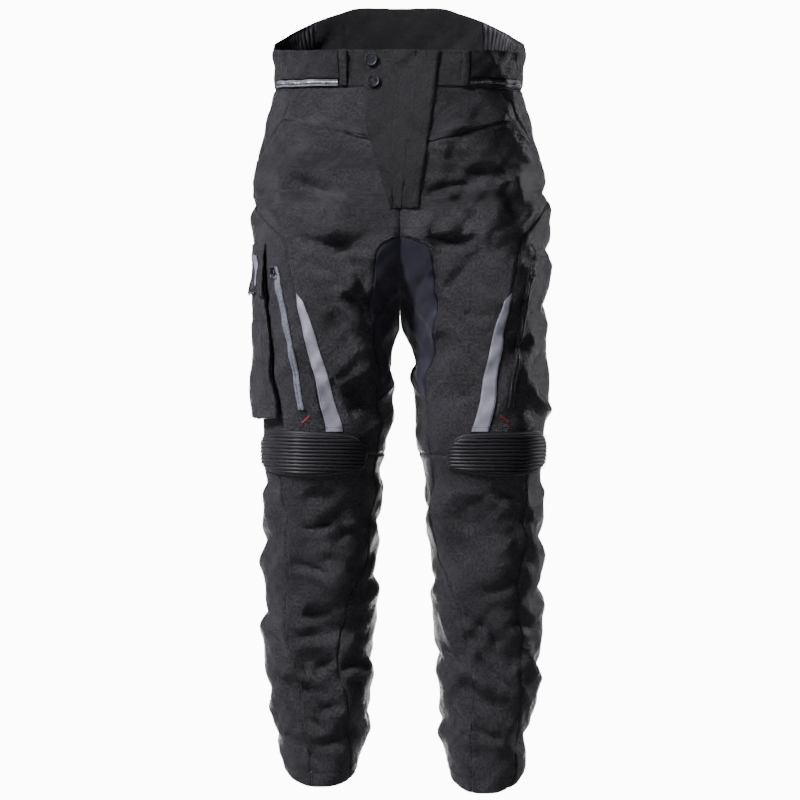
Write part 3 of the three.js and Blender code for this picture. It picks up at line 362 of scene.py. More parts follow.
# Seams. Each row: height, distance from the middle on the right leg, on the left leg
YOKE_SEAM = [(-96, 157, 158), (-106, 117, 124), (-117, 76, 84), (-127, 38, 46), (-138, 0, 0)]
POCKET_OPENING = [(-57, 122, 126), (-68, 136, 141), (-80, 148, 150), (-96, 157, 158), (-114, 169, 169),
                  (-135, 181, 180)]
SIDE_SEAM = [(-216, 190, 190), (-228, 181, 184), (-240, 171, 176), (-252, 158, 165), (-262, 152, 159),
             (-275, 149, 156), (-300, 143, 152), (-325, 137, 147), (-420, 117, 131), (-520, 97, 113),
             (-542, 92, 108)]
INNER_SEAM = [(-252, 0, 0), (-262, 24, 36), (-275, 31, 42), (-300, 32, 44), (-325, 35, 47), (-371, 33, 46),
              (-420, 29, 36), (-470, 27, 34), (-520, 29, 37), (-542, 32, 42), (-600, 32, 42), (-640, 43, 44),
              (-684, 41, 50), (-712, 58, 66), (-740, 71, 80), (-768, 72, 86), (-810, 82, 89), (-838, 80, 96),
              (-866, 70, 96), (-905, 69, 96), (-998, 71, 95)]
SHIN_SEAM = [(-542, 161, 171), (-600, 159, 168), (-628, 151, 163), (-656, 150, 167), (-684, 147, 162),
             (-712, 149, 156), (-740, 153, 157), (-790, 152, 162), (-824, 139, 163), (-852, 138, 162),
             (-890, 131, 161), (-930, 124, 160), (-945, 120, 155), (-998, 119, 143)]
# Each row: height, degrees round the leg
GUSSET_BACK = [(-262, 282), (-275, 284), (-300, 293), (-350, 312), (-420, 346), (-470, 396)]


# %% [markdown]
# ## From tables to points
# A smooth curve runs through each table. From the curves come the section at a height, the turn at which a
# seam lies, and the plain surface, which is still without creases. All of them take whole arrays.

# %% Surface functions
def column(rows, which=1):
    """Cubic Hermite curve through (height, value) rows running downwards, with slopes between neighbours."""
    z = np.array([row[0] for row in rows], float)
    v = np.array([row[which] for row in rows], float)
    above = np.maximum(np.arange(len(z)) - 1, 0)
    below = np.minimum(np.arange(len(z)) + 1, len(z) - 1)
    slope = (v[above] - v[below]) / (z[above] - z[below])

    def value(at):
        i = np.clip(np.searchsorted(-z, -np.asarray(at, float), side="right") - 1, 0, len(z) - 2)
        span = z[i] - z[i + 1]
        s = np.clip((z[i] - at) / span, 0, 1)
        h = s * s * (3 - 2 * s)
        bend = s * (1 - s) ** 2 * -span * slope[i] + s * s * (1 - s) * span * slope[i + 1]
        return v[i] + (v[i + 1] - v[i]) * h + bend

    return value


outer = {leg: column(OUTER[leg]) for leg in SIDES}
inner = {leg: column(INNER[leg]) for leg in SIDES}
front, back, fork = column(DEPTH, 1), column(DEPTH, 2), column(FORK)


def section(leg, z):
    """Middle and half sizes of the rounded section at each height: x, half width, y, half depth."""
    out = outer[leg](z)
    parted = fork(z)
    inn = np.where(z >= CROTCH, -(1 - parted) / (1 + parted) * out, inner[leg](z))
    f, b = front(z), back(z)
    return (out + inn) / 2, (out - inn) / 2, (f + b) / 2, (b - f) / 2


def turn_at(leg, z, distance):
    """Degrees round the leg of a point on its front, that far from the middle."""
    x, wide, _, _ = section(leg, z)
    across = np.clip((x - distance) / wide, -1, 1)
    ahead = (1 - np.abs(across) ** SQUARENESS) ** (1 / SQUARENESS)
    return np.degrees(np.arctan2(ahead, across))


def middle_turn(leg, z):
    """Degrees of the centre front on a leg: the inside where the legs have parted, further round above."""
    return np.where(z <= CROTCH, 0.0, turn_at(leg, z, 0.0))


def plain(leg, turn, z):
    """Rounded section: radius (|cos|^k + |sin|^k)^(-1/k) times the half sizes, in the leg's own frame."""
    x, wide, y, deep = section(leg, z)
    c, s = np.cos(np.radians(turn)), np.sin(np.radians(turn))
    r = (np.abs(c) ** SQUARENESS + np.abs(s) ** SQUARENESS) ** (-1 / SQUARENESS)
    return np.stack([x - wide * r * c, y - deep * r * s, z + 0 * turn], -1)


def hemmed(leg, turn, z):
    """Height of a point once the hem has ridden up at the two sides of the leg."""
    low = smooth(HEM_BEND - z, 0, HEM_BEND - HEM[leg])
    return z + HEM_RISE * low * np.cos(np.radians(turn)) ** 4


def unit(v):
    """Vectors divided by their own length."""
    return v / np.maximum(np.linalg.norm(v, axis=-1, keepdims=True), 1e-9)


def normal_of(point, turn, z):
    """Outward direction: the cross product of a small step down and a small step round the leg."""
    around = point(turn + 0.4, z) - point(turn - 0.4, z)
    down = point(turn, z - 1.0) - point(turn, z + 1.0)
    return unit(np.cross(down, around))


def per_mm(leg, turn, z):
    """Degrees of arc that cover one millimetre."""
    return 2 / np.linalg.norm(plain(leg, turn + 1, z) - plain(leg, turn - 1, z), axis=-1)


def smooth(x, low, high):
    """Rises from 0 at low to 1 at high, as 3 s squared less 2 s cubed."""
    s = np.clip((x - low) / (high - low), 0, 1)
    return s * s * (3 - 2 * s)


hip_width = outer["left"](-240) + outer["right"](-230)
print("hips:", round(float(hip_width)), "mm wide, hem at", HEM["right"], "and", HEM["left"])

# %% [markdown]
# ## Creases
# Stiff cloth hangs in a few large folds with finer ones between them. A cloth simulation would make folds of
# its own, in other places than the real ones, and noise looks like crumpled paper. So each crease is one row
# that is set where the photograph has it. The sides that it hides have similar ones. A row is a line
# in the view of one face: on the front and back its ends are distances from the middle, and on the outer and
# inner side they are depths. The large folds are also in the solids.

# %% Crease tables
# Each row: face, from, its height, to, its height, bow, width, depth (a ridge is positive), crispness
BIG_FOLDS = {
    "right": [
        ("front", 146, -172, 78, -212, -6, 13, -6, 1.5), ("front", 160, -200, 110, -228, 4, 11, -3, 1.5),
        ("front", 140, -262, 62, -272, -6, 12, -6, 1.5), ("front", 100, -258, 40, -322, 8, 14, -6, 1.5),
        ("front", 98, -318, 52, -402, -8, 14, -5, 1.5), ("front", 78, -430, 30, -500, 6, 15, -6, 1.5),
        ("front", 112, -596, 70, -655, 8, 15, -5, 1.5), ("front", 120, -655, 62, -722, -8, 16, 5, 1.5),
        ("front", 128, -748, 60, -782, -6, 13, -6, 1.5), ("front", 140, -815, 74, -850, 8, 13, -6, 1.5),
        ("front", 158, -842, 96, -905, 10, 12, -6, 1.5), ("back", 30, -300, 150, -330, 8, 15, -7, 1.5),
        ("back", 40, -350, 150, -395, -6, 14, -5, 1.5), ("back", 50, -532, 160, -520, 6, 13, -8, 1.5),
        ("back", 48, -585, 160, -600, -6, 14, -7, 1.5), ("back", 60, -800, 150, -850, 6, 15, -5, 1.5),
    ],
    "left": [
        ("front", 60, -150, 150, -176, 6, 14, -5, 1.5), ("front", 38, -206, 100, -190, 5, 10, -4, 1.5),
        ("front", 40, -262, 112, -252, 8, 12, -6, 1.5), ("front", 60, -330, 132, -262, -8, 15, -5, 1.5),
        ("front", 52, -380, 84, -470, 10, 15, -6, 1.5), ("front", 96, -600, 140, -660, 8, 15, -5, 1.5),
        ("front", 84, -690, 150, -735, -8, 16, 5, 1.5), ("front", 96, -772, 158, -828, 6, 14, -6, 1.5),
        ("front", 76, -850, 150, -900, -6, 14, -6, 1.5), ("back", 28, -312, 148, -322, 6, 15, -7, 1.5),
        ("back", 40, -356, 150, -385, -8, 14, -5, 1.5), ("back", 56, -528, 168, -536, -5, 13, -8, 1.5),
        ("back", 56, -592, 170, -582, 8, 14, -7, 1.5), ("back", 70, -850, 160, -800, -6, 15, -5, 1.5),
    ],
}
FINE_FOLDS = {
    "right": [
        ("front", 150, -178, 82, -203, 3, 5, -1.8, 1.4), ("front", 115, -132, 92, -140, 2, 4, -1.5, 1.4),
        ("front", 170, -213, 123, -224, 3, 4, -1.6, 1.3), ("front", 142, -254, 38, -254, -7, 6, -3.2, 1.5),
        ("front", 89, -274, 34, -270, 3, 4.5, -3.6, 1.2), ("front", 131, -286, 77, -310, 4, 6, -2.4, 1.5),
        ("front", 112, -320, 65, -318, 4, 5, -2.2, 1.3), ("front", 76, -327, 36, -364, 5, 7, -4, 1.3),
        ("front", 36, -422, 84, -447, 3, 7, 3.2, 1.4), ("front", 60, -300, 36, -345, 2, 5, -2, 1.3),
        ("front", 118, -430, 80, -500, 5, 8, -2, 2), ("front", 66, -488, 34, -470, 3, 6, -2.2, 1.5),
        ("front", 130, -601, 80, -590, 5, 9, -3.4, 1.8), ("front", 134, -640, 89, -633, -2, 3.6, -3, 1.1),
        ("front", 72, -633, 46, -644, 3, 5, 2.4, 1.5), ("front", 146, -688, 94, -702, 5, 4, -3.4, 1.1),
        ("front", 145, -756, 88, -750, -3, 5, -2.6, 1.2), ("front", 151, -788, 81, -784, 3, 5, -2.8, 1.2),
        ("front", 178, -783, 153, -812, 2, 5, -2, 1.3), ("front", 116, -837, 84, -816, 3, 5, -2.4, 1.2),
        ("front", 77, -831, 38, -823, 2, 4, -3.6, 1.1), ("front", 78, -838, 40, -831, 2, 5, 2.6, 1.3),
        ("front", 136, -825, 123, -842, 1, 4, -2.2, 1.2), ("front", 134, -858, 92, -864, 3, 5, -2, 1.3),
        ("front", 171, -836, 130, -892, 4, 5, -3.4, 1.2), ("front", 130, -892, 93, -910, -3, 5, -3, 1.2),
        ("front", 113, -894, 73, -880, 5, 4, -2.6, 1.2), ("front", 156, -919, 126, -942, 3, 6, -2.8, 1.3),
        ("front", 124, -941, 108, -955, 1, 4, -2, 1.2), ("front", 120, -935, 76, -925, 3, 6, -2, 1.5),
        ("front", 104, -663, 66, -690, 4, 6, 2, 1.6), ("front", 176, -600, 150, -640, 3, 7, -2.2, 1.6),
        ("front", 62, -96, 48, -122, 2, 5, 2, 1.5), ("front", 120, -100, 70, -106, 2, 6, 1.4, 1.8),
        ("outer", -80, -190, 60, -215, 6, 8, -3, 1.6), ("outer", -60, -560, 50, -590, 5, 8, -3, 1.6),
        ("outer", -60, -650, 70, -700, -6, 9, -3.5, 1.6), ("outer", -60, -760, 70, -740, 6, 8, -3, 1.5),
        ("outer", -50, -850, 70, -880, 5, 8, -3.2, 1.5), ("outer", -40, -930, 60, -910, 4, 8, -2.6, 1.5),
        ("inner", -60, -420, 50, -440, 4, 8, -2.5, 1.6), ("inner", -60, -620, 60, -650, 5, 8, -3, 1.5),
        ("inner", -60, -720, 70, -700, -5, 8, -3, 1.5), ("inner", -50, -800, 70, -840, 5, 8, -3, 1.5),
        ("inner", -50, -900, 60, -890, 4, 7, -2.5, 1.5), ("back", 20, -280, 120, -292, 5, 6, -3, 1.4),
        ("back", 30, -330, 140, -352, -4, 6, -3, 1.4), ("back", 40, -410, 150, -430, 5, 8, -2.6, 1.6),
        ("back", 60, -505, 150, -498, -4, 6, -3.5, 1.3), ("back", 50, -552, 165, -560, 4, 5, -4, 1.2),
        ("back", 50, -615, 150, -640, -5, 7, -3, 1.5), ("back", 60, -680, 160, -665, 5, 8, -3, 1.5),
        ("back", 60, -740, 160, -760, -5, 8, -3, 1.5), ("back", 60, -880, 140, -900, 5, 7, -3, 1.4),
        ("back", 60, -940, 130, -925, 3, 7, -2.5, 1.4), ("back", 40, -170, 120, -200, 5, 12, -2.5, 2),
    ],
    "left": [
        ("front", 88, -166, 145, -167, 3, 7, -2.2, 1.5), ("front", 28, -198, 114, -181, -4, 5, -2.8, 1.3),
        ("front", 35, -252, 104, -253, 6, 5, -3, 1.2), ("front", 142, -180, 160, -230, 3, 9, -3.4, 1.8),
        ("front", 85, -351, 122, -359, 2, 5, -2, 1.4), ("front", 50, -350, 84, -462, 9, 8, 3, 1.6),
        ("front", 40, -300, 70, -322, 3, 5, -2.2, 1.3), ("front", 96, -300, 140, -330, 5, 7, -2, 1.6),
        ("front", 120, -582, 162, -602, 3, 6, -2.8, 1.4), ("front", 90, -594, 80, -682, 7, 12, -3.4, 2),
        ("front", 110, -725, 152, -702, 5, 6, -2.6, 1.4), ("front", 85, -752, 118, -776, 3, 4.5, -2.6, 1.2),
        ("front", 118, -776, 135, -799, 1, 4.5, -2.8, 1.2), ("front", 52, -745, 80, -808, 3, 6, 3, 1.4),
        ("front", 55, -803, 93, -830, 3, 4, -3.2, 1.1), ("front", 100, -807, 154, -859, 4, 6, -3.8, 1.2),
        ("front", 97, -836, 124, -873, 3, 6, 3, 1.3), ("front", 60, -868, 93, -906, 3, 5, -2.8, 1.2),
        ("front", 93, -906, 139, -925, 2, 5, -2.8, 1.2), ("front", 157, -942, 167, -919, 1, 4, -2.4, 1.2),
        ("front", 70, -930, 110, -950, 3, 6, -2, 1.5), ("front", 37, -582, 42, -628, 4, 7, 3, 1.6),
        ("front", 60, -620, 96, -640, 3, 6, -2, 1.4), ("front", 168, -630, 190, -690, 4, 8, 3.2, 1.6),
        ("front", 150, -760, 186, -775, 2, 6, -2.4, 1.4), ("front", 170, -800, 186, -840, 3, 8, 3, 1.6),
        ("front", 60, -110, 96, -104, 2, 5, 1.6, 1.5), ("front", 140, -400, 176, -390, 3, 7, -2, 1.6),
        ("outer", -80, -200, 60, -180, 6, 8, -3, 1.6), ("outer", -90, -462, 20, -498, 5, 7, 3.4, 1.4),
        ("outer", -80, -250, 60, -275, 5, 9, -3, 1.7), ("outer", -80, -350, 60, -330, 6, 9, -3, 1.7),
        ("outer", -60, -570, 60, -560, 5, 8, -3.2, 1.5), ("outer", -60, -640, 70, -670, 5, 9, -3.5, 1.5),
        ("outer", -60, -740, 70, -720, -6, 8, -3.4, 1.5), ("outer", -50, -810, 70, -850, 5, 8, -3.2, 1.5),
        ("outer", -40, -920, 60, -930, 4, 8, -2.6, 1.5), ("inner", -60, -430, 50, -410, 4, 8, -2.5, 1.6),
        ("inner", -60, -600, 60, -640, 5, 8, -3, 1.5), ("inner", -60, -710, 70, -730, -5, 8, -3, 1.5),
        ("inner", -50, -820, 70, -800, 5, 8, -3, 1.5), ("inner", -50, -890, 60, -910, 4, 7, -2.5, 1.5),
        ("back", 20, -284, 124, -276, 5, 6, -3, 1.4), ("back", 30, -338, 140, -340, -4, 6, -3, 1.4),
        ("back", 40, -420, 150, -412, 5, 8, -2.6, 1.6), ("back", 60, -500, 156, -508, -4, 6, -3.5, 1.3),
        ("back", 56, -560, 168, -552, 4, 5, -4, 1.2), ("back", 56, -630, 156, -615, -5, 7, -3, 1.5),
        ("back", 60, -670, 166, -690, 5, 8, -3, 1.5), ("back", 66, -755, 166, -740, -5, 8, -3, 1.5),
        ("back", 66, -900, 150, -885, 5, 7, -3, 1.4), ("back", 66, -935, 140, -945, 3, 7, -2.5, 1.4),
        ("back", 40, -196, 120, -176, 5, 12, -2.5, 2),
    ],
}
FACES = {"front": (0, (0, -1)), "back": (0, (0, 1)), "outer": (1, (1, 0)), "inner": (1, (-1, 0))}


# %% [markdown]
# A crease is a bell across its bowed line. Above a narrow one stands a lip of the other sign, because cloth
# that sinks has to rise somewhere. It fades out towards both ends, and where the surface turns away from the
# face on which its line is drawn.

# %% Crease shapes
WIDER, LIP, LIP_PLACE, LIP_UP_TO = 1.35, 0.5, 1.9, 10


def fold_height(fold, p, n):
    """Depth times the bell exp(-|off| to the crispness) less the lip, times the root of a sine along it."""
    face, x0, z0, x1, z1, bow, width, depth, crisp = fold
    axis, way = FACES[face]
    dx, dz = x1 - x0, z1 - z0
    long = math.hypot(dx, dz)
    along = ((p[..., axis] - x0) * dx + (p[..., 2] - z0) * dz) / long ** 2
    beside = ((p[..., axis] - x0) * dz - (p[..., 2] - z0) * dx) / long
    inside = np.clip(along, 0, 1)
    off = (beside - bow * 4 * inside * (1 - inside)) / (width * WIDER)
    lip = LIP * np.exp(-((off * np.sign(dx) - LIP_PLACE) ** 2)) if width < LIP_UP_TO else 0
    facing = smooth(n[..., 0] * way[0] + n[..., 1] * way[1], 0.15, 0.6)
    return depth * (np.exp(-np.abs(off) ** crisp) - lip) * np.sin(np.pi * inside) ** 0.5 * facing


# Short seams across a panel, in the view of the front: distance from the middle, height, at each end
GROOVES = {"right": [(178, -286, 165, -279.6), (165, -279.6, 147, -277)], "left": [(152, -274.5, 182, -285)]}
GROOVE_DEPTH, GROOVE_WIDTH = 1.1, 1.5


def groove(line, p, n):
    """A narrow dip: minus a bell of the distance to a short straight line."""
    x0, z0, x1, z1 = line
    dx, dz = x1 - x0, z1 - z0
    share = np.clip(((p[..., 0] - x0) * dx + (p[..., 2] - z0) * dz) / (dx * dx + dz * dz), 0, 1)
    away = np.hypot(p[..., 0] - x0 - share * dx, p[..., 2] - z0 - share * dz)
    return -GROOVE_DEPTH * np.exp(-((away / GROOVE_WIDTH) ** 2)) * smooth(-n[..., 1], 0.1, 0.4)


RUMPLE = 0.0125
WAVE_LENGTHS = (95, 80, 66, 57, 49, 41, 36, 31, 27, 23, 19, 16)
RNG = np.random.default_rng(7)
WAVES = [(RNG.uniform(0, 2 * math.pi, 3), RNG.uniform(0, math.pi), length) for length in WAVE_LENGTHS]


def rumple(p):
    """Faint unevenness of cloth: a sum of sine products, each as high as its length times a small share."""
    total = 0
    for phase, way, length in WAVES:
        k = 2 * math.pi / length
        run = p[..., 0] * math.cos(way) + p[..., 1] * math.sin(way)
        total = total + length * RUMPLE * np.sin(k * run + phase[0]) * np.sin(k * p[..., 2] * 0.8 + phase[1])
    return total


CALM_TOP, CALM_BOTTOM, CALM_FADE, CALMED = -480, -600, 26, 0.88


def calm(p, n):
    """Share of the finer creases that is left: the knee panels hold the cloth in front of them flat."""
    near_knee = smooth(CALM_TOP - p[..., 2], 0, CALM_FADE) * smooth(p[..., 2] - CALM_BOTTOM, 0, CALM_FADE)
    return 1 - CALMED * near_knee * smooth(np.maximum(-n[..., 1], n[..., 0]), 0.1, 0.4)


# %% [markdown]
# The creases are heights along the surface's own direction outwards. Right and left leg are worked out at +X
# and one of them is mirrored at the end. At the centre seam the two legs have to meet without a gap, so the
# points there are set a hair past the middle.

# %% Creased surface
BIG_DEPTH, FINE_DEPTH = 1.75, 2.2
MEETS_WITHIN = 0.8


def folded(leg, turn, z):
    """The plain surface, moved out by the sum of its large folds, its calmed fine ones and its grooves."""
    p = plain(leg, turn, z)
    n = normal_of(lambda t, h: plain(leg, t, h), turn, z)
    height = BIG_DEPTH * sum(fold_height(fold, p, n) for fold in BIG_FOLDS[leg])
    fine_height = FINE_DEPTH * sum(fold_height(fold, p, n) for fold in FINE_FOLDS[leg]) + rumple(p)
    height = height + fine_height * calm(p, n) + sum(groove(line, p, n) for line in GROOVES[leg])
    return p + n * height[..., None]


def place(leg, turn, z, lift=0.0):
    """Points of the creased cloth moved out by lift, in the garment's own millimetres, and their normals."""
    turn, z = np.broadcast_arrays(np.asarray(turn, float), np.asarray(z, float))
    p = folded(leg, turn, z)
    n = normal_of(lambda t, h: folded(leg, t, h), turn, z)
    p = p + n * np.broadcast_to(np.asarray(lift, float), turn.shape)[..., None]
    at_middle = (plain(leg, turn, z)[..., 0] < MEETS_WITHIN) & (z > CROTCH)
    p[..., 0] = np.where(at_middle, -TUCK, np.maximum(p[..., 0], HALF_GAP))
    flip = np.array([SIGN[leg], 1, 1])
    return p * flip, n * flip


print("creases:", sum(len(rows) for rows in BIG_FOLDS.values()), "large,",
      sum(len(rows) for rows in FINE_FOLDS.values()), "fine")


# %% [markdown]
# ## From grids to meshes
# A piece of cloth has an outer face, an inner face and a rim. A Solidify modifier could add the wall, but
# where creases are tight its inner face would fold through itself. So both faces are worked out on the same
# surface, as two equal grids of points, and strips of quads join them round the rim. Every mesh goes through
# one function, which writes whole arrays with foreach_set.

# %% Mesh makers
SHARP = math.radians(55)


def ready(name, points, faces, uv, material):
    """A mesh object at the origin from points in millimetres, faces of four corners, and UV in metres."""
    mesh = bpy.data.meshes.new(name)
    mesh.vertices.add(len(points))
    mesh.vertices.foreach_set("co", (points * MM).astype(np.float32).ravel())
    mesh.loops.add(faces.size)
    mesh.loops.foreach_set("vertex_index", faces.ravel().astype(np.int32))
    mesh.polygons.add(len(faces))
    mesh.polygons.foreach_set("loop_start", np.arange(0, faces.size, faces.shape[1], dtype=np.int32))
    layer = mesh.uv_layers.new(name="UVMap")
    layer.data.foreach_set("uv", uv[faces.ravel()].astype(np.float32).ravel())
    mesh.update(calc_edges=True)
    mesh.validate()
    mesh.shade_smooth()
    mesh.set_sharp_from_angle(angle=SHARP)
    mesh.materials.append(material)
    obj = bpy.data.objects.new(name, mesh)
    bpy.context.collection.objects.link(obj)
    return obj


def shell_faces(rows, columns):
    """Quads of the outer grid, the inner grid turned over, and the four strips of the rim."""
    grid = np.arange(rows * columns).reshape(rows, columns)
    a, b, c, d = grid[:-1, :-1], grid[1:, :-1], grid[1:, 1:], grid[:-1, 1:]
    under = rows * columns
    top = np.stack([a, b, c, d], -1).reshape(-1, 4)
    bottom = np.stack([a, d, c, b], -1).reshape(-1, 4) + under
    rim = np.concatenate([grid[0, ::-1], grid[1:, 0], grid[-1, 1:], grid[-2::-1, -1]])
    nxt = np.roll(rim, -1)
    sides = np.stack([rim, rim + under, nxt + under, nxt], -1)
    keep = rim != nxt
    return np.concatenate([top, bottom, sides[keep]])


def shell(name, high, low, uv, material):
    """Closed shell between an outer and an inner grid, turned over if its signed volume is below zero."""
    rows, columns = high.shape[:2]
    points = np.concatenate([high.reshape(-1, 3), low.reshape(-1, 3)])
    faces = shell_faces(rows, columns)
    p = points[faces[:, :3]]
    centre = points.mean(0)
    signed = np.einsum("ij,ij->i", p[:, 0] - centre, np.cross(p[:, 1] - centre, p[:, 2] - centre)).sum()
    if signed < 0:
        faces = faces[:, ::-1]
    flat = uv.reshape(-1, 2)
    return ready(name, points, faces, np.concatenate([flat, flat]), material)


def ground(p, z):
    """UV in metres: the distance across each row of the grid, and the height."""
    step = np.linalg.norm(np.diff(p, axis=1), axis=-1)
    across = np.concatenate([np.zeros((len(p), 1)), np.cumsum(step, axis=1)], 1)
    across = across - across[:, across.shape[1] // 2][:, None]
    return np.stack([across * MM, z * MM], -1)


# %% [markdown]
# Each shell rides on the body that carries its solid, and that solid is hidden. The size of its sheet is
# worked
# out on the grid: the widest row, the height with a little for the creases, and the area as a sum of cross
# products. Nothing takes these sizes up.

# %% Attaching a piece
made = []
THINNEST_SHEET, LEAST_SHARE, CREASE_ALLOWANCE = 0.0101, 0.31, 1.02


def dress(obj, node, sheet_grid=None, body="trousers"):
    """The piece rides on its body and hides its CAD node. Its sheet size is worked out but not kept."""
    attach(obj, body)
    if node:
        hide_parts(node)
    made.append(obj.name)
    if sheet_grid is not None:
        wide = np.linalg.norm(np.diff(sheet_grid, axis=1), axis=-1).sum(1)
        tall = CREASE_ALLOWANCE * np.ptp(sheet_grid[..., 2])
        e1, e2 = np.diff(sheet_grid, axis=0)[:, :-1], np.diff(sheet_grid, axis=1)[:-1]
        area = np.linalg.norm(np.cross(e1, e2), axis=-1).sum() * MM * MM
        w, h = max(wide.max() * MM, THINNEST_SHEET), max(tall * MM, THINNEST_SHEET)
        area = float(np.clip(area, LEAST_SHARE * w * h, w * h))
    return obj


# %% [markdown]
# ## Seams as lines round the leg
# A maker cuts panels along lines, and two neighbours share one line. So a seam is worked out once, as degrees
# round the leg against height, and both panels use it. Its table is straight between rows, and the average of
# five places a few millimetres apart rounds the bends. The gusset's back seam runs from the centre seam, down
# behind the leg, to the gusset's tip.

# %% Seam lines
def seam(leg, rows, before=(), after=(), ease=5.0):
    """Degrees against height through a seam's table, rounded over ease millimetres."""
    which = 1 if leg == "right" else 2
    z = np.array([row[0] for row in before] + [row[0] for row in rows] + [row[0] for row in after], float)
    middle = [float(turn_at(leg, float(row[0]), float(row[which]))) for row in rows]
    turns = np.array([row[1] for row in before] + middle + [row[1] for row in after])

    def value(at):
        reach = np.minimum(ease, np.minimum(np.abs(at - z[0]), np.abs(at - z[-1])))
        line = [np.interp(-(at + shift * reach), -z, turns) for shift in (-1, -0.5, 0, 0.5, 1)]
        return sum(line) / len(line)

    return value


UNDER_TOP, UNDER_LOW = -262.0, -445.0
LINES = {}
for leg in SIDES:
    lines = {
        "pocket": seam(leg, POCKET_OPENING, after=[(-150, 176), (POCKET_END, OUTSEAM)]),
        "yoke": seam(leg, YOKE_SEAM, ease=2.0),
        "side": seam(leg, SIDE_SEAM, before=[(HIP_CORNER, OUTSEAM), (-204, 178)]),
        "inside": seam(leg, INNER_SEAM),
        "shin": seam(leg, SHIN_SEAM),
    }
    lines["out"] = lambda z: OUTSEAM + 0 * z
    lines["calf"] = lambda z: CALF_SEAM + 0 * z
    lines["middle"] = lambda z, leg=leg: middle_turn(leg, z)
    lines["seat"] = lambda z, leg=leg: 360 - middle_turn(leg, z)
    lines["inside_behind"] = lambda z, inside=lines["inside"]: 360 + inside(z)
    under = column(GUSSET_BACK)
    first = 360 - float(middle_turn(leg, float(GUSSET_TOP)))
    tip = 360 + float(lines["inside"](float(GUSSET_TIP)))

    def gusset_back(z, under=under, first=first, tip=tip, lines=lines):
        top = first + (under(UNDER_TOP) - first) * np.clip((GUSSET_TOP - z) / (GUSSET_TOP - UNDER_TOP), 0, 1)
        fall = np.clip((UNDER_LOW - z) / (UNDER_LOW - GUSSET_TIP), 0, 1)
        low = under(UNDER_LOW) + (tip - under(UNDER_LOW)) * fall
        line = np.where(z > UNDER_TOP, top, np.where(z < UNDER_LOW, low, under(z)))
        return np.where(z <= GUSSET_TIP, lines["inside_behind"](z), line)

    lines["gusset_back"] = gusset_back
    LINES[leg] = lines
print("seams per leg:", len(LINES["right"]))


# %% [markdown]
# ## Seams press the cloth down
# Beside a seam the cloth dips into the join, swells where it is turned under, and dips once more along the
# row of stitches. Bump in the material would leave the outline flat, so the dips are in the mesh. That needs
# close rows and columns of points beside each seam, and fewer in the open cloth.

# %% Rows of points and the seam's profile
PITCH, FINE_PITCH = 3.8, 2.2
BESIDE = np.array([0.0, 0.9, 1.8, 2.7, 4.0])
SEAM_DIP, STITCH_DIP, EASE = 1.3, 0.45, 2.6
DEEPEST = -1.4
HEM_FOLD = 19.0
NARROW, NARROWEST, ROW_CLEAR = 20, 0.2, 0.5
FINE_FROM, FINE_TO, LOWEST = -135, -218, -1000


def bell(x, width):
    """1 at zero, falling as the exponential of minus the square of x over the width."""
    return np.exp(-((x / width) ** 2))


def seam_dip(away):
    """Height beside a seam: down at the edge and at the stitches, with a low swell behind them."""
    return 0.35 * bell(away - 4.5, 2.5) - SEAM_DIP * bell(away, 1.2) - STITCH_DIP * bell(away - EASE, 0.8)


def hem_dip(up):
    """Height above the hem's edge: rolled in at the edge, and pressed down along the hem's stitches."""
    return -0.7 * bell(up - HEM_FOLD, 1.3) - 0.5 * bell(up, 1.2)


CORNERS = [WAIST_SEAM, YOKE_CORNER, YOKE_CENTRE, POCKET_END, HIP_CORNER, GUSSET_TOP, CROTCH, GUSSET_TIP,
           KNEE_SEAM]
EVEN = [np.arange(WAIST_SEAM, FINE_FROM, -PITCH), np.arange(FINE_FROM, FINE_TO, -FINE_PITCH),
        np.arange(FINE_TO, LOWEST, -PITCH)]
CLOSE = [WAIST_SEAM - BESIDE, KNEE_SEAM - BESIDE, KNEE_SEAM + BESIDE]
CLOSE += [HEM[leg] + HEM_FOLD + BESIDE - BESIDE[2] for leg in SIDES]
ROWS = np.unique(np.round(np.concatenate(EVEN + [CORNERS] + CLOSE), 3))[::-1]
print("rows down the garment:", len(ROWS))

# %% [markdown]
# ## Cut panels
# A panel is the cloth between two seams and two heights. The grid's columns run from seam to seam, so they
# lean as the seams do and no face is cut. The distance to each seam is measured square to it, which gives a
# slanting seam the same dip as an upright one.


# %% Panel
def panel_columns(width):
    """Millimetres across each row: close steps beside both seams, and even ones in the room between them."""
    beside = np.minimum(1, width / NARROW)[:, None] * BESIDE
    even = np.linspace(0, 1, max(3, int(width.max() / PITCH) + 1))
    room = width[:, None] - 2 * beside[:, -1:]
    far_side = width[:, None] - beside[:, -2::-1]
    return np.concatenate([beside[:, :-1], beside[:, -1:] + room * even, far_side], 1)


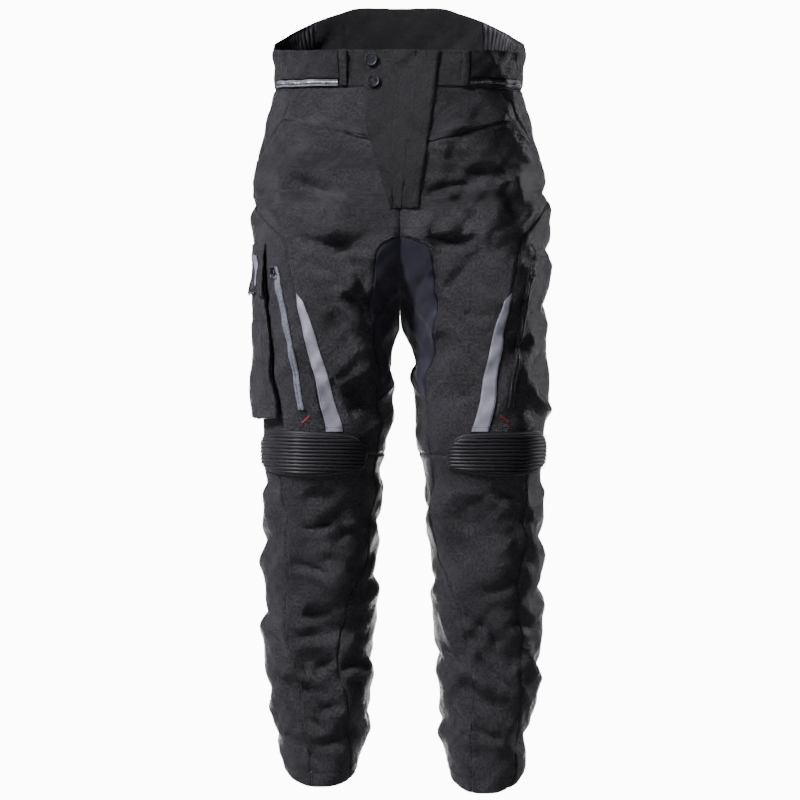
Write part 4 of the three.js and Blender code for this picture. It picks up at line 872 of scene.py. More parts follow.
def panel(name, leg, top, bottom, left, right, material, slot, at_hem=False, sag=None):
    """A shell between two seam lines: the creased surface, lowered by the dips of its four edges."""
    rows = ROWS[(ROWS < top - ROW_CLEAR) & (ROWS > bottom + ROW_CLEAR)]
    z = np.concatenate([[top - HALF_GAP], rows, [bottom + HALF_GAP]])
    lo, hi = left(z), right(z)
    width = (hi - lo) / per_mm(leg, (lo + hi) / 2, z)
    z, width = z[width > NARROWEST], width[width > NARROWEST]
    lo, hi = left(z), right(z)
    lo, hi = lo + HALF_GAP * per_mm(leg, lo, z), hi - HALF_GAP * per_mm(leg, hi, z)
    u = panel_columns(width) / width[:, None]
    turn = lo[:, None] + (hi - lo)[:, None] * u
    height = np.repeat(z[:, None], u.shape[1], 1)
    mm = 1 / per_mm(leg, turn, height)
    from_lo = (turn - lo[:, None]) * mm / np.hypot(1, np.gradient(lo, z)[:, None] * mm)
    from_hi = (hi[:, None] - turn) * mm / np.hypot(1, np.gradient(hi, z)[:, None] * mm)
    if sag is not None:
        height = height + sag(turn, height)
    dip = seam_dip(from_lo) + seam_dip(from_hi) + seam_dip(z[0] - z)[:, None]
    if at_hem:
        dip = np.maximum(dip, DEEPEST) + hem_dip(z - z[-1])[:, None]
    else:
        dip = np.maximum(dip + seam_dip(z - z[-1])[:, None], DEEPEST)
    height = hemmed(leg, turn, height)
    high, _ = place(leg, turn, height, dip)
    low, _ = place(leg, turn, height, -CLOTH_MM)
    obj = shell(name, high, low, ground(high, height), material)
    return dress(obj, name.replace("cloth_", ""), high)


# %% [markdown]
# ## Ten panels to a leg
# The names and the seams are those of the real garment: a slant pocket beside the hip, a yoke under the
# waistband, one large thigh, a side panel, the seat and back thigh in one, four panels below the knee, and a
# stretch gusset in the crotch. The gusset's rows sag in the middle, so that its top edge follows the U of the
# crotch seam.

# %% The panels of both legs
SAG_FADE = 1.4
for leg in SIDES:
    line = LINES[leg]

    # Where two seams meet on a panel's edge, the edge changes from one to the other at that height
    def thigh_inner(z, line=line):
        upper = np.where(z > GUSSET_TOP, line["middle"](z), line["inside"](z))
        return np.where(z > YOKE_CENTRE, line["yoke"](z), upper)

    def thigh_outer(z, line=line):
        low = np.where(z > HIP_CORNER, OUTSEAM, line["side"](z))
        return np.where(z > POCKET_END, line["pocket"](z), low)

    def yoke_outer(z, line=line):
        return np.where(z > YOKE_CORNER, line["pocket"](z), line["yoke"](z))

    def back_inner(z, line=line):
        return np.where(z > GUSSET_TOP, line["seat"](z), line["gusset_back"](z))

    def add(name, top, bottom, left, right, material=CLOTH, slot="cloth", **facts):
        """A panel of this leg, named after the solid that it stands for."""
        return panel(f"cloth_{name}_{leg}", leg, top, bottom, left, right, material, slot, **facts)

    add("hip_side", WAIST_SEAM, POCKET_END, line["pocket"], line["out"])
    add("front_yoke", WAIST_SEAM, YOKE_CENTRE, line["middle"], yoke_outer)
    add("front_thigh", YOKE_CORNER, KNEE_SEAM, thigh_inner, thigh_outer)
    add("side_panel", HIP_CORNER, KNEE_SEAM, line["side"], line["out"])
    add("back_panel", WAIST_SEAM, KNEE_SEAM, line["out"], back_inner)
    add("shin", KNEE_SEAM, HEM[leg], line["inside"], line["shin"], at_hem=True)
    add("calf_outer", KNEE_SEAM, HEM[leg], line["shin"], line["out"], at_hem=True)
    add("calf_back", KNEE_SEAM, HEM[leg], line["out"], line["calf"], at_hem=True)
    add("calf_inner", KNEE_SEAM, HEM[leg], line["calf"], line["inside_behind"], at_hem=True)

    heights = np.linspace(CROTCH, GUSSET_TOP, 200)
    turns = middle_turn(leg, heights)
    widest = float(turns[-1])

    def gusset_sag(turn, z, heights=heights, turns=turns, widest=widest):
        """Lowers the middle of each row, so that the top edge follows the U of the crotch seam."""
        share = (turn - turn[:, :1]) / (turn[:, -1:] - turn[:, :1])
        crotch = np.interp(np.abs(widest * (2 * share - 1)), turns, heights)
        fade = np.clip((z - GUSSET_TIP) / (GUSSET_TOP - GUSSET_TIP), 0, 1) ** SAG_FADE
        return (crotch - GUSSET_TOP) * fade

    add("gusset", GUSSET_TOP, GUSSET_TIP, lambda z, line=line: line["gusset_back"](z) - 360, line["inside"],
        STRETCH, "stretch", sag=gusset_sag)
print("panels:", len(made))

# %% [markdown]
# ## Places round the waist
# The waistband crosses from one leg's surface to the other's, at the centre of the front and of the back. So
# a place on it is an angle from the middle of the front, positive towards the left, and the point is
# taken from the surface of whichever leg is on that side. The back stands higher than the front, as on all
# trousers that are worn bent over a seat.

# %% Waist line
# Each row: degrees from the middle of the front with a minus, height of the top edge
WAIST_TOP = [(0, -8), (-45, -7), (-70, -4), (-86, 0), (-100, 8), (-112, 15), (-124, 25), (-138, 41),
             (-150, 53), (-160, 61), (-180, 61)]
WAIST_FOOT = WAIST_SEAM + 0.5
FRONT_END, ELASTIC_END, BAND_MM = 84, 138, 2.6
waist_top = column(WAIST_TOP)


def waist_place(angle, z, lift):
    """Points round the waist: the right leg's surface for angles below zero, the left leg's above."""
    angle, z, lift = np.broadcast_arrays(angle, z, np.asarray(lift, float))
    right, _ = place("right", 90 + np.abs(angle), z, lift)
    left, _ = place("left", 90 + np.abs(angle), z, lift)
    p = np.where((angle < 0)[..., None], right, left)
    p[..., 0] = np.where(np.abs(np.abs(angle) - 180) < 0.01, 0, p[..., 0])
    return p


# %% [markdown]
# ## Waistband, elastics and facing
# The front bands are plain cloth folded over a stiff core. At the hips the cloth is gathered over elastic
# into upright ribs, which show inside and outside. The ribs need five columns to a degree, or they come out
# as a coarse zigzag. The inside of the raised back shows in the open waist, so it has a facing of its own.

# %% Waistband
BAND_ROWS, PLAIN_COLUMNS, RIB_COLUMNS = 30, 1.1, 5


def band(name, node, start, end, high, low, relief, material, drop=0.0, lining=None):
    """A stretch of waistband between two angles, raised by relief of (angle, share of the height, height)."""
    columns = max(6, int(abs(end - start) * (RIB_COLUMNS if material is RIB else PLAIN_COLUMNS)))
    angle = np.linspace(start, end, columns)[None, :]
    fold_back = np.where(angle > 180, angle - 360, angle)
    share = np.linspace(0, 1, BAND_ROWS)[:, None]
    z = WAIST_FOOT + (waist_top(-np.abs(fold_back)) - drop - WAIST_FOOT) * share
    fold_back, share = np.broadcast_to(fold_back, z.shape), np.broadcast_to(share, z.shape)
    outer_face = waist_place(fold_back, z, high + relief(fold_back, share, z))
    inside = 0 if lining is None else lining(fold_back, share, z)
    inner_face = waist_place(fold_back, z, low - inside)
    obj = shell(name, outer_face, inner_face, ground(outer_face, z), material)
    return dress(obj, node, outer_face)


def band_relief(angle, share, z):
    """Plain band: the seam's dip at its foot, and a bell that rolls its top edge in."""
    tall = (z - WAIST_SEAM) / np.maximum(share, 0.02)
    return seam_dip(z - WAIST_SEAM) - 1.2 * bell((1 - share) * tall, 2.2)


def rib_relief(angle, share, z):
    """Gathered elastic: the size of a sine round the waist, which wanders a little, flat at the two edges."""
    wander = 8.4 * np.sin(z / 9.0 + angle * 0.8)
    ribs = np.abs(np.sin(np.radians(angle * 72 + wander)))
    flat = smooth(share, 0.02, 0.1) * smooth(1 - share, 0.03, 0.1)
    return 1.9 * ribs * flat - 0.4


BAND_GAP = 0.16
for leg in SIDES:
    way = SIGN[leg]
    band(f"band_front_{leg}", f"front_band_{leg}", way * BAND_GAP, way * (FRONT_END - BAND_GAP), 0, -BAND_MM,
         band_relief, BAND_CLOTH)
    band(f"band_elastic_{leg}", f"elastic_{leg}", way * FRONT_END, way * (ELASTIC_END - BAND_GAP), -1,
         -BAND_MM, rib_relief, RIB, lining=rib_relief)
band("band_back", "back_band", ELASTIC_END, 360 - ELASTIC_END, 0, -BAND_MM, band_relief, BAND_CLOTH)


def facing_relief(angle, share, z):
    """Inner facing: its outer face is hidden, so it stays plain."""
    return 0 * z


def facing_inside(angle, share, z):
    """The face that shows in the waist: an upright seam on each side of a plain middle, and a rolled edge."""
    from_back = 180 - np.abs(angle)
    seams = bell(from_back - 25.5, 0.9) - 0.4 * bell(from_back - 28.5, 1.5)
    return -0.75 * seams - 0.8 * bell(1 - share, 0.03)


FACING_OUT, FACING_IN, FACING_GAP = -BAND_MM - 0.35, -BAND_MM - 1.3, 0.4
band("band_facing", "back_facing", ELASTIC_END + FACING_GAP, 360 - FACING_GAP - ELASTIC_END, FACING_OUT,
     FACING_IN, facing_relief, LINING, drop=1.0, lining=facing_inside)
print("waist pieces done:", len(made))

# %% [markdown]
# ## Laid-on pieces
# Strips, zip tapes, tabs and loops are sewn flat onto the cloth. A Shrinkwrap modifier could press them onto
# it, but they would then ride over the creases unevenly. Each is made from the cloth's own points instead,
# moved out by the same lift everywhere, so that it follows every crease below it.


# %% Laid-on strips
def straight(leg, x0, z0, x1, z1, shift=0.0):
    """A line of the front view between two points, moved sideways by shift, as degrees against height."""
    return lambda z: turn_at(leg, z, x0 + (x1 - x0) * (z0 - z) / (z0 - z1) + shift)


def laid(name, node, leg, top, bottom, left, right, lift, thick, material, slot, pitch=1.6, relief=None,
         slant=0.0):
    """A strip between two lines, raised by relief of (share across, share down, millimetres across)."""
    z = np.linspace(top, bottom, max(3, int((top - bottom) / pitch) + 1))
    lo, hi = left(z), right(z)
    wide = np.abs(hi - lo) / per_mm(leg, (lo + hi) / 2, z)
    columns = max(5, int(wide.max() / pitch) + 1)
    u = np.linspace(0, 1, columns)[None, :]
    turn = lo[:, None] + (hi - lo)[:, None] * u
    height = np.repeat(z[:, None], columns, 1)
    v = np.linspace(0, 1, len(z))[:, None] + 0 * u
    height = height - slant * (1 - u) * (1 - v) ** 4
    extra = 0 if relief is None else relief(u + 0 * v, v, wide[:, None] * u)
    high, _ = place(leg, turn, height, lift + thick + extra)
    low, _ = place(leg, turn, height, lift)
    obj = shell(name, high, low, ground(high, height), material)
    return dress(obj, node, high if slot != "metal" else None)


# %% [markdown]
# ## Reflective strips and pocket zips
# Each strip lies along the side seam, grows wider towards the knee, and is cut on a slant at its top. The
# pocket zip beside it is a closed one: two tapes that meet in a line. Its own teeth are too small to show.

# %% Reflective strips and pocket zips
STRIP_TOP, STRIP_BOTTOM, STRIP_SLANT, STRIP_MM = -327, -509, 11.0, 0.7
STRIP_NARROW, STRIP_GROWS = 13, 9
# Each zip: distance from the middle and height of its top, then of its foot
ZIP = {"right": (164.5, -292, 128.5, -480), "left": (173, -293, 145, -478)}
# The right leg's zips take the grey tape. The left leg's take its dark copy, which is painted shade and not a
# tape of another colour.
ZIP_TAPE_LIT_AND_SHADED = {"right": ZIP_TAPE, "left": ZIP_TAPE_SHADED}
ZIP_HALF, ZIP_LIE = 3.8, 0.45


def soft_edges(u, v, across):
    """Minus a bell of the distance to the nearer long edge, which its stitching presses down."""
    return -0.45 * bell(np.minimum(u, 1 - u) * np.max(across), 1.2)


def tape_relief(u, v, across):
    """The size of a sine with one half wave for each tape, less a bell along the line where they meet."""
    return 0.7 * np.abs(np.sin(2 * np.pi * u)) - 0.7 * bell(u - 0.5, 0.07)


for leg in SIDES:
    line = LINES[leg]

    def strip_inner(z, leg=leg, line=line):
        wide = STRIP_NARROW + STRIP_GROWS * (STRIP_TOP - z) / (STRIP_TOP - STRIP_BOTTOM)
        return line["side"](z) - wide * per_mm(leg, line["side"](z), z)

    laid(f"strip_{leg}", f"reflective_strip_{leg}", leg, STRIP_TOP, STRIP_BOTTOM, strip_inner, line["side"],
         LIE, STRIP_MM, TAPE, "reflective", pitch=2.0, relief=soft_edges, slant=STRIP_SLANT)
    laid(f"zip_side_{leg}", f"pocket_zip_{leg}", leg, ZIP[leg][1], ZIP[leg][3],
         straight(leg, *ZIP[leg], -ZIP_HALF), straight(leg, *ZIP[leg], ZIP_HALF), ZIP_LIE, TRIM_MM,
         ZIP_TAPE_LIT_AND_SHADED[leg], "zip", pitch=0.75, relief=tape_relief)
print("strips and pocket zips done:", len(made))

# %% [markdown]
# ## Tabs, belt loops and waist zips
# On each side of the fly a belt loop is sewn over the band, then an adjuster tab, and under the tab a zip
# runs along the waist seam. The zip's teeth are large enough to see, so they are a chain of their own, with
# nicks across it.

# %% Tabs, belt loops and waist zips
TRIM_LIE, LOOP_MM, TAB_MM, TEETH_MM = 0.7, 2.8, 2.0, 0.5
LOOP_TOP, LOOP_FOOT, ZIP_FOOT = -8, -54, -54.5
TEETH_HALF, TEETH_PITCH = 1.5, 2.6


def waist_coil_relief(u, v, across):
    """A half sine over the chain's height, times one plus a sine along it, a wave for each tooth."""
    return 0.5 * np.sin(np.pi * v) * (1 + 0.7 * np.sin(across * 2 * math.pi / TEETH_PITCH))


# Distances from the middle where each starts and ends, and the heights of the tab
BAND_TRIM = {
    "right": {"loop": (70, 79), "tab": (80.5, 157), "tab_top": -8, "tab_bottom": -44, "zip": (82, 163)},
    "left": {"loop": (81, 90), "tab": (91.5, 157), "tab_top": -7, "tab_bottom": -43, "zip": (92, 160)},
}
for leg in SIDES:
    trim = BAND_TRIM[leg]

    def at(x, leg=leg):
        return lambda z: turn_at(leg, z, x)

    tab_start, tab_end = (at(x) for x in trim["tab"])
    zip_start, zip_end = (at(x) for x in trim["zip"])
    loop_start, loop_end = (at(x) for x in trim["loop"])
    laid(f"loop_{leg}", f"belt_loop_{leg}", leg, LOOP_TOP, LOOP_FOOT, loop_start, loop_end,
         TRIM_LIE, LOOP_MM, BAND_CLOTH, "cloth", pitch=1.5, relief=soft_edges)
    laid(f"tab_{leg}", f"waist_tab_{leg}", leg, trim["tab_top"], trim["tab_bottom"], tab_start, tab_end,
         TRIM_LIE, TAB_MM, BAND_CLOTH, "cloth", pitch=2.0, relief=soft_edges)
    zip_top = trim["tab_bottom"] - 2
    middle = (zip_top + ZIP_FOOT) / 2
    # The waist zips take the same tapes, so the left one also carries painted shade.
    laid(f"zip_waist_{leg}", f"waist_zip_{leg}", leg, zip_top, ZIP_FOOT, zip_start, zip_end,
         TRIM_LIE, TRIM_MM, ZIP_TAPE_LIT_AND_SHADED[leg], "zip", pitch=1.6)
    laid(f"teeth_waist_{leg}", None, leg, middle + TEETH_HALF, middle - TEETH_HALF, zip_start, zip_end,
         TRIM_LIE + TRIM_MM, TEETH_MM, TEETH, "metal", pitch=0.65, relief=waist_coil_relief)
print("laid-on pieces done:", len(made))

# %% [markdown]
# ## Fly flap
# The flap covers the front zip. It crosses the centre seam, where the two legs' surfaces meet in a narrow
# valley. Stiff cloth would not follow that, so the flap takes the middle of the two sides there. Its edges
# taper towards the foot, two seams run down it, and one soft ridge crosses it where it buckles.

# %% Fly
# Each row: height, left edge and right edge as signed distances from the middle
FLY_EDGE = [(-8, -50, 51), (-50, -47, 46), (-80, -46, 42), (-112, -45, 38), (-135, -37, 34), (-165, -28, 30),
            (-190, -21, 26), (-215, -15, 23)]
FLY_LIE, FLY_MM, FLY_TOP, FLY_FOOT = 0.95, 2.0, -8.5, -215
FLY_ROWS, FLY_COLUMNS = 105, 66
# Each seam: distance from the middle at the top, and how far it moves to the right for each millimetre down
FLY_SEAMS, FLY_SEAMS_FROM = [(-7.5, 0.012), (21, 0.09)], -10
# Middle of the ridge, the direction across it, and its width and length
RIDGE_AT, RIDGE_ACROSS, RIDGE_WIDE, RIDGE_LONG = (-26, -105), (0.79, 0.61), 5, 18
fly_left, fly_right = column(FLY_EDGE, 1), column(FLY_EDGE, 2)


def front_place(x, z, lift):
    """Points on the front at a signed distance from the middle. The valley at the middle is bridged."""
    x, z, lift = np.broadcast_arrays(x, z, np.asarray(lift, float))
    near = np.maximum(np.abs(x), 0.01)
    right, _ = place("right", turn_at("right", z, near), z, lift)
    left, _ = place("left", turn_at("left", z, near), z, lift)
    p = np.where((x < 0)[..., None], right, left)
    close = (np.abs(x) < 1)[..., None]
    return np.where(close, np.stack([x, (right[..., 1] + left[..., 1]) / 2, z], -1), p)


def fly_relief(x, z, edge):
    """Bells: the edge rolled in, a swell, the stitches, the seams, and a ridge that fades with height."""
    relief = 0.25 * bell(edge - 5, 3) - 0.7 * bell(edge, 1.3) - 0.4 * bell(edge - 2.4, 0.8)
    for start, lean in FLY_SEAMS:
        relief = relief - 1.1 * bell(x - start - (z - FLY_SEAMS_FROM) * lean, 1.2)
    across = (x - RIDGE_AT[0]) * RIDGE_ACROSS[0] + (z - RIDGE_AT[1]) * RIDGE_ACROSS[1]
    return relief + 1.6 * bell(across, RIDGE_WIDE) * bell(z - RIDGE_AT[1], RIDGE_LONG)


z = np.linspace(FLY_TOP, FLY_FOOT, FLY_ROWS)[:, None] + np.zeros((1, FLY_COLUMNS))
x = fly_left(z) + (fly_right(z) - fly_left(z)) * np.linspace(0, 1, FLY_COLUMNS)
edge = np.minimum(np.minimum(x - fly_left(z), fly_right(z) - x), z - FLY_FOOT)
high = front_place(x, z, FLY_LIE + FLY_MM + fly_relief(x, z, edge))
low = front_place(x, z, FLY_LIE)
dress(shell("fly", high, low, ground(high, z), BAND_CLOTH), "fly_flap", high)
print("fly done:", len(made))

# %% [markdown]
# ## Snap buttons
# A snap's cap is a pressed metal dish, the same all round. So it is a profile of radius and height, turned
# about its own axis, as on a lathe. The Spin tool and the Screw modifier do the same, but leave the normals
# to be checked. The cap is set square to the flap where it sits.


# %% Snaps
def turned(name, profile, segments, centre, out, material):
    """Centre plus radius times (cosine of side, sine of up) plus height times the direction out."""
    out = unit(np.asarray(out, float))
    side = unit(np.cross(out, (0, 0, 1)))
    up = np.cross(side, out)
    r, h = np.array(profile, float).T
    a = np.linspace(0, 2 * math.pi, segments + 1)[:-1]
    ring = (r[:, None, None] * (np.cos(a)[None, :, None] * side + np.sin(a)[None, :, None] * up)
            + h[:, None, None] * out)
    points = (ring + np.asarray(centre)).reshape(-1, 3)
    grid = np.arange(len(r) * segments).reshape(len(r), segments)
    nxt = np.roll(grid, -1, axis=1)
    faces = np.stack([grid[:-1], nxt[:-1], nxt[1:], grid[1:]], -1).reshape(-1, 4)
    return ready(name, points, faces, np.zeros((len(points), 2)), material)


# Each snap: signed distance from the middle, height
SNAPS = {"snap_upper": (-37, -21), "snap_lower": (-34.5, -50)}
SNAP_FOOT, SNAP_SIDES = 0.4, 40
SNAP_PROFILE = [(0.01, 0), (7.4, 0), (8.5, 0.3), (8.8, 0.9), (8.8, 1.6), (8.5, 2.2), (7.9, 2.6), (7.1, 2.7),
                (6.5, 2.4), (6.0, 2.1), (5.2, 2.1), (3.0, 2.35), (0.01, 2.5)]
for name, (x, z) in SNAPS.items():
    base = front_place(np.array(float(x)), np.array(float(z)), FLY_LIE + FLY_MM + SNAP_FOOT)
    far = front_place(np.array(float(x)), np.array(float(z)), FLY_LIE + FLY_MM + 6)
    cap = turned(f"{name}_cap", SNAP_PROFILE, SNAP_SIDES, base, far - base, SNAP_METAL)
    dress(cap, name)
print("snaps done:", len(made))

# %% [markdown]
# ## Knee panels
# Over each knee lies a soft pad whose cloth is sewn in thirteen level ribs, so that it stretches when the
# knee bends. It is one grid again: the pad swells from its bound edge, and inside a narrow border the size of
# a sine, counted down the pad, makes the ribs. A table gives the rounded corners.

# %% Knee panels
# Each row: share of the way round with a minus, height of the top edge, height of the lower edge
KNEE_EDGE = [(0, -541, -560), (-0.04, -529, -562), (-0.12, -516, -564), (-0.24, -511, -567),
             (-0.5, -509, -570), (-0.76, -509, -567), (-0.9, -513, -563), (-0.96, -520, -559),
             (-1, -534, -554)]
# Distance from the middle where the panel starts, and the turn where it ends
KNEE = {"right": (44, 167), "left": (61, 167)}
KNEE_ROWS, KNEE_COLUMNS = 105, 90
RIBS, RIB_MM, PAD_MM, BORDER_MM, KNEE_LIE = 13, 2.1, 3.2, 1.2, LIE + 0.1
knee_top, knee_bottom = column(KNEE_EDGE, 1), column(KNEE_EDGE, 2)
KNEE_START = {leg: float(turn_at(leg, float(KNEE_SEAM), float(KNEE[leg][0]))) for leg in SIDES}


def knee_relief(edge, z):
    """A pad that rises from its edge, ribs within its border, and two sunk lines of sewing beside it."""
    body, field = smooth(edge, 0, 5.5), smooth(edge, 5.0, 7.5)
    foot, tall = knee_bottom(-0.5), knee_top(-0.5) - knee_bottom(-0.5)
    ribs = np.abs(np.sin(np.pi * RIBS * (z - foot) / tall)) ** 0.8
    relief = PAD_MM * body + RIB_MM * ribs * field + BORDER_MM * (1 - field) * body
    return relief - 0.9 * bell(edge - 5.2, 0.8) - 0.6 * bell(edge - 2.6, 0.6)


for leg in SIDES:
    share = np.linspace(0, 1, KNEE_COLUMNS)[None, :]
    top, bottom = knee_top(-share), knee_bottom(-share)
    z = top + (bottom - top) * np.linspace(0, 1, KNEE_ROWS)[:, None]
    turn = KNEE_START[leg] + (KNEE[leg][1] - KNEE_START[leg]) * share + 0 * z
    ends = np.minimum(turn - KNEE_START[leg], KNEE[leg][1] - turn) / per_mm(leg, turn, z)
    edge = np.minimum(np.minimum(top - z, z - bottom), ends)
    high, _ = place(leg, turn, z, KNEE_LIE + np.maximum(knee_relief(edge, z), 0.5))
    low, _ = place(leg, turn, z, KNEE_LIE)
    dress(shell(f"knee_{leg}", high, low, ground(high, z), RIB), f"knee_panel_{leg}", high)
print("knees done:", len(made))

# %% [markdown]
# ## Cargo pocket
# A cargo pocket is a face of cloth on a bellows that stands off the leg, sewn down on both sides and the
# foot. A box with rounded edges would be too stiff for it. Here the grid's first rows start on the leg, turn
# out past it and roll over onto the face, and two slow sines make the face slack. The grid is worked out
# twice, once smaller by the wall, for the outer and the inner face.

# %% Cargo pocket
CARGO = {"top": -282, "bottom": -494, "rear": 222, "stand": 16, "wall": 1.6, "flap_top": -262,
         "flap_bottom": -330, "front_top": 149, "front_bottom": 130}
CARGO_ROWS, CARGO_COLUMNS = 80, 48
# The first rows and columns in from the edge: how far each is drawn in, and its share of the full rise
DRAWN_IN, RAISED = np.array([4.0, 1.0, 0.0, 1.1]), np.array([0.0, 0.45, 0.86, 1.0])
ROLL = len(RAISED) - 1


def cargo_down(z):
    """Share of the way down the pocket."""
    return (CARGO["top"] - z) / (CARGO["top"] - CARGO["bottom"])


def cargo_front(z):
    """Degrees round the leg of the pocket's front edge: a straight line between its two ends."""
    return CARGO["front_top"] + (CARGO["front_bottom"] - CARGO["front_top"]) * cargo_down(z)


def cargo_rise(z):
    """How far the face stands off the leg: little at the mouth, two smooth steps up, full at the foot."""
    down = cargo_down(z)
    return CARGO["stand"] * (0.15 + 0.45 * smooth(down, 0, 0.24) + 0.4 * smooth(down, 0.24, 1))


def cargo_slack(u, v):
    """A product of two slow sines, less a bell along one crease that crosses the face."""
    return 1.6 * np.sin(u * 7 + v * 5) * np.sin(v * 10) - 1.6 * bell(v - 0.42 + 0.1 * u, 0.035)


def cargo_tray(inwards):
    """The tray's grid, moved inwards by that much: the leg's surface raised by rise, roll and slack."""
    i, j = np.arange(CARGO_ROWS)[:, None], np.arange(CARGO_COLUMNS)[None, :]
    to_edge = np.minimum(np.minimum(i, CARGO_ROWS - 1 - i), np.minimum(j, CARGO_COLUMNS - 1 - j))
    level = np.minimum(to_edge, ROLL)
    v = np.clip((i - ROLL) / (CARGO_ROWS - 1 - 2 * ROLL), 0, 1)
    u = np.clip((j - ROLL) / (CARGO_COLUMNS - 1 - 2 * ROLL), 0, 1)
    drawn = inwards + DRAWN_IN[level]
    z = (CARGO["top"] - drawn) * (1 - v) + (CARGO["bottom"] + drawn) * v
    inset = drawn * per_mm("right", 180 + 0 * z, z)
    turn = (cargo_front(z) + inset) * (1 - u) + (CARGO["rear"] - inset) * u
    face = cargo_rise(z) * (0.78 + 0.22 * np.sin(np.pi * u)) - inwards
    slack = cargo_slack(u, v) * smooth(level + 0 * z, 1, ROLL) * smooth(v, 0.1, 0.4)
    lift = LIE + np.maximum(face - LIE, 0.3) * RAISED[level] + slack
    return place("right", turn, z, np.maximum(lift, LIE))[0], z


high, z = cargo_tray(0)
low, _ = cargo_tray(CARGO["wall"])
dress(shell("cargo_pocket_cloth", high, low, ground(high, z), CLOTH), "cargo_pocket", high)
print("cargo pocket:", round(float(np.ptp(high[..., 2]))), "mm high")

# %% [markdown]
# ## Pocket flap and side reflector
# The flap is sewn on above the mouth and hangs over it, so its lift is the pocket's own rise and a little
# more. A short reflector is sewn on the flap, narrower at its top.

# %% Flap and side reflector
FLAP_ROWS, FLAP_COLUMNS, FLAP_OVER, FLAP_CLEAR, FLAP_WIDE = 30, 50, 1.5, 1.3, 100
REFLECTOR = {"top": -275.6, "bottom": -316.4, "turn": 154, "narrow": 7, "grows": -4, "lie": 0.5, "mm": 0.7}


def flap_lift(z):
    """The pocket's rise and a little clearance, reached smoothly below the seam."""
    return smooth(CARGO["flap_top"] - z, 0, 20) * (cargo_rise(z) + FLAP_CLEAR) + LIE


def flap_grid(lift, soft):
    """The flap's points: a swell behind its edge less a bell at the edge, both times soft."""
    z = np.linspace(CARGO["flap_top"], CARGO["flap_bottom"], FLAP_ROWS)[:, None] + np.zeros((1, FLAP_COLUMNS))
    u = np.linspace(0, 1, FLAP_COLUMNS)[None, :]
    front_edge = cargo_front(np.minimum(z, CARGO["top"])) - FLAP_OVER
    turn = front_edge * (1 - u) + (CARGO["rear"] + FLAP_OVER) * u
    edge = np.minimum(np.minimum(u, 1 - u) * FLAP_WIDE, z - CARGO["flap_bottom"])
    press = soft * (0.5 * bell(edge - 4, 3) - 0.5 * bell(edge, 1.2))
    return place("right", turn, z, flap_lift(z) + lift + press)[0], z


high, z = flap_grid(CARGO["wall"], 1.0)
low, _ = flap_grid(0, 0.0)
dress(shell("cargo_flap_cloth", high, low, ground(high, z), CLOTH), "cargo_flap", high)

z = np.linspace(REFLECTOR["top"], REFLECTOR["bottom"], 22)[:, None] + np.zeros((1, 6))
fallen = (z - REFLECTOR["top"]) / (REFLECTOR["bottom"] - REFLECTOR["top"])
turn = REFLECTOR["turn"] + (REFLECTOR["narrow"] + REFLECTOR["grows"] * fallen) * np.linspace(0, 1, 6)
on_flap = flap_lift(z) + CARGO["wall"] + REFLECTOR["lie"]
high, _ = place("right", turn, z, on_flap + REFLECTOR["mm"])
low, _ = place("right", turn, z, on_flap)
dress(shell("reflector_side", high, low, ground(high, z), TAPE), "side_reflector", high)
print("cargo flap done:", len(made))

# %% [markdown]
# ## A stitch
# Rows of stitches are what makes cloth look sewn. One stitch is a short thread that rises in its middle and
# dives into the cloth at both ends. An array along a curve would bend and stretch it, so the threads are set
# out with numpy: three small square rings each, carried along a path on the cloth. Thousands of them are one
# mesh, so each has only ten faces.


# %% Stitches
STITCH, STITCH_GAP, THREAD_RADIUS = 2.5, 1.0, 0.34
THREAD_RINGS = 3


def stitch_mesh(name, paths, material, length=STITCH, gap=STITCH_GAP, radius=THREAD_RADIUS):
    """Threads along paths: centre plus arch times out, then a square of that thickness across the path."""
    arch = np.array([-0.2, 0.5, -0.2]) * radius
    thick = np.array([0.5, 1.0, 0.5]) * radius
    corner = np.radians([45, 135, 225, 315])
    blocks = []
    for p, n in paths:
        run = np.concatenate([[0], np.cumsum(np.linalg.norm(np.diff(p, axis=0), axis=1))])
        count = max(1, int(run[-1] / (length + gap)))
        middle = (np.arange(count) + 0.5) * run[-1] / count
        at = middle[:, None] + np.array([-0.5, 0.0, 0.5]) * length
        centre = np.stack([np.interp(at, run, p[:, k]) for k in range(3)], -1)
        out = unit(np.stack([np.interp(at, run, n[:, k]) for k in range(3)], -1))
        way = unit(centre[:, 2:] - centre[:, :1])
        side = np.cross(out, way)
        turned_by = np.cos(corner)[:, None] * side[:, :, None] + np.sin(corner)[:, None] * out[:, :, None]
        ring = (centre + arch[:, None] * out)[:, :, None] + thick[:, None, None] * turned_by
        blocks.append(ring.reshape(-1, THREAD_RINGS * 4, 3))
    points = np.concatenate(blocks)
    k = np.arange(4)
    walls = [np.stack([r + k, r + (k + 1) % 4, r + 4 + (k + 1) % 4, r + 4 + k], -1) for r in (0, 4)]
    one = np.concatenate(walls + [np.array([[3, 2, 1, 0], [8, 9, 10, 11]])])
    faces = (one[None] + THREAD_RINGS * 4 * np.arange(len(points))[:, None, None]).reshape(-1, 4)
    flat = points.reshape(-1, 3)
    obj = ready(name, flat, faces, np.zeros((len(flat), 2)), material)
    return dress(obj, None)


# %% [markdown]
# ## Paths to sew along
# A row of stitches runs a few millimetres beside a seam, or at one height, or round an outline. Each kind of
# path is a short function that gives points on the cloth and the direction out of it.

# %% Sewing paths
ON_CLOTH = 0.15


def sew(leg, turn, z, lift=ON_CLOTH):
    """Points and normals on the cloth, raised at the hem as the panels are."""
    turn, z = np.broadcast_arrays(turn, z)
    return place(leg, turn, hemmed(leg, turn, z), lift)


def down(leg, line, high, low, aside, lift=ON_CLOTH):
    """A path beside a seam, that many millimetres round the leg from it."""
    z = np.linspace(high, low, max(3, int((high - low) / 6)))
    return sew(leg, line(z) + aside * per_mm(leg, line(z), z), z, lift)


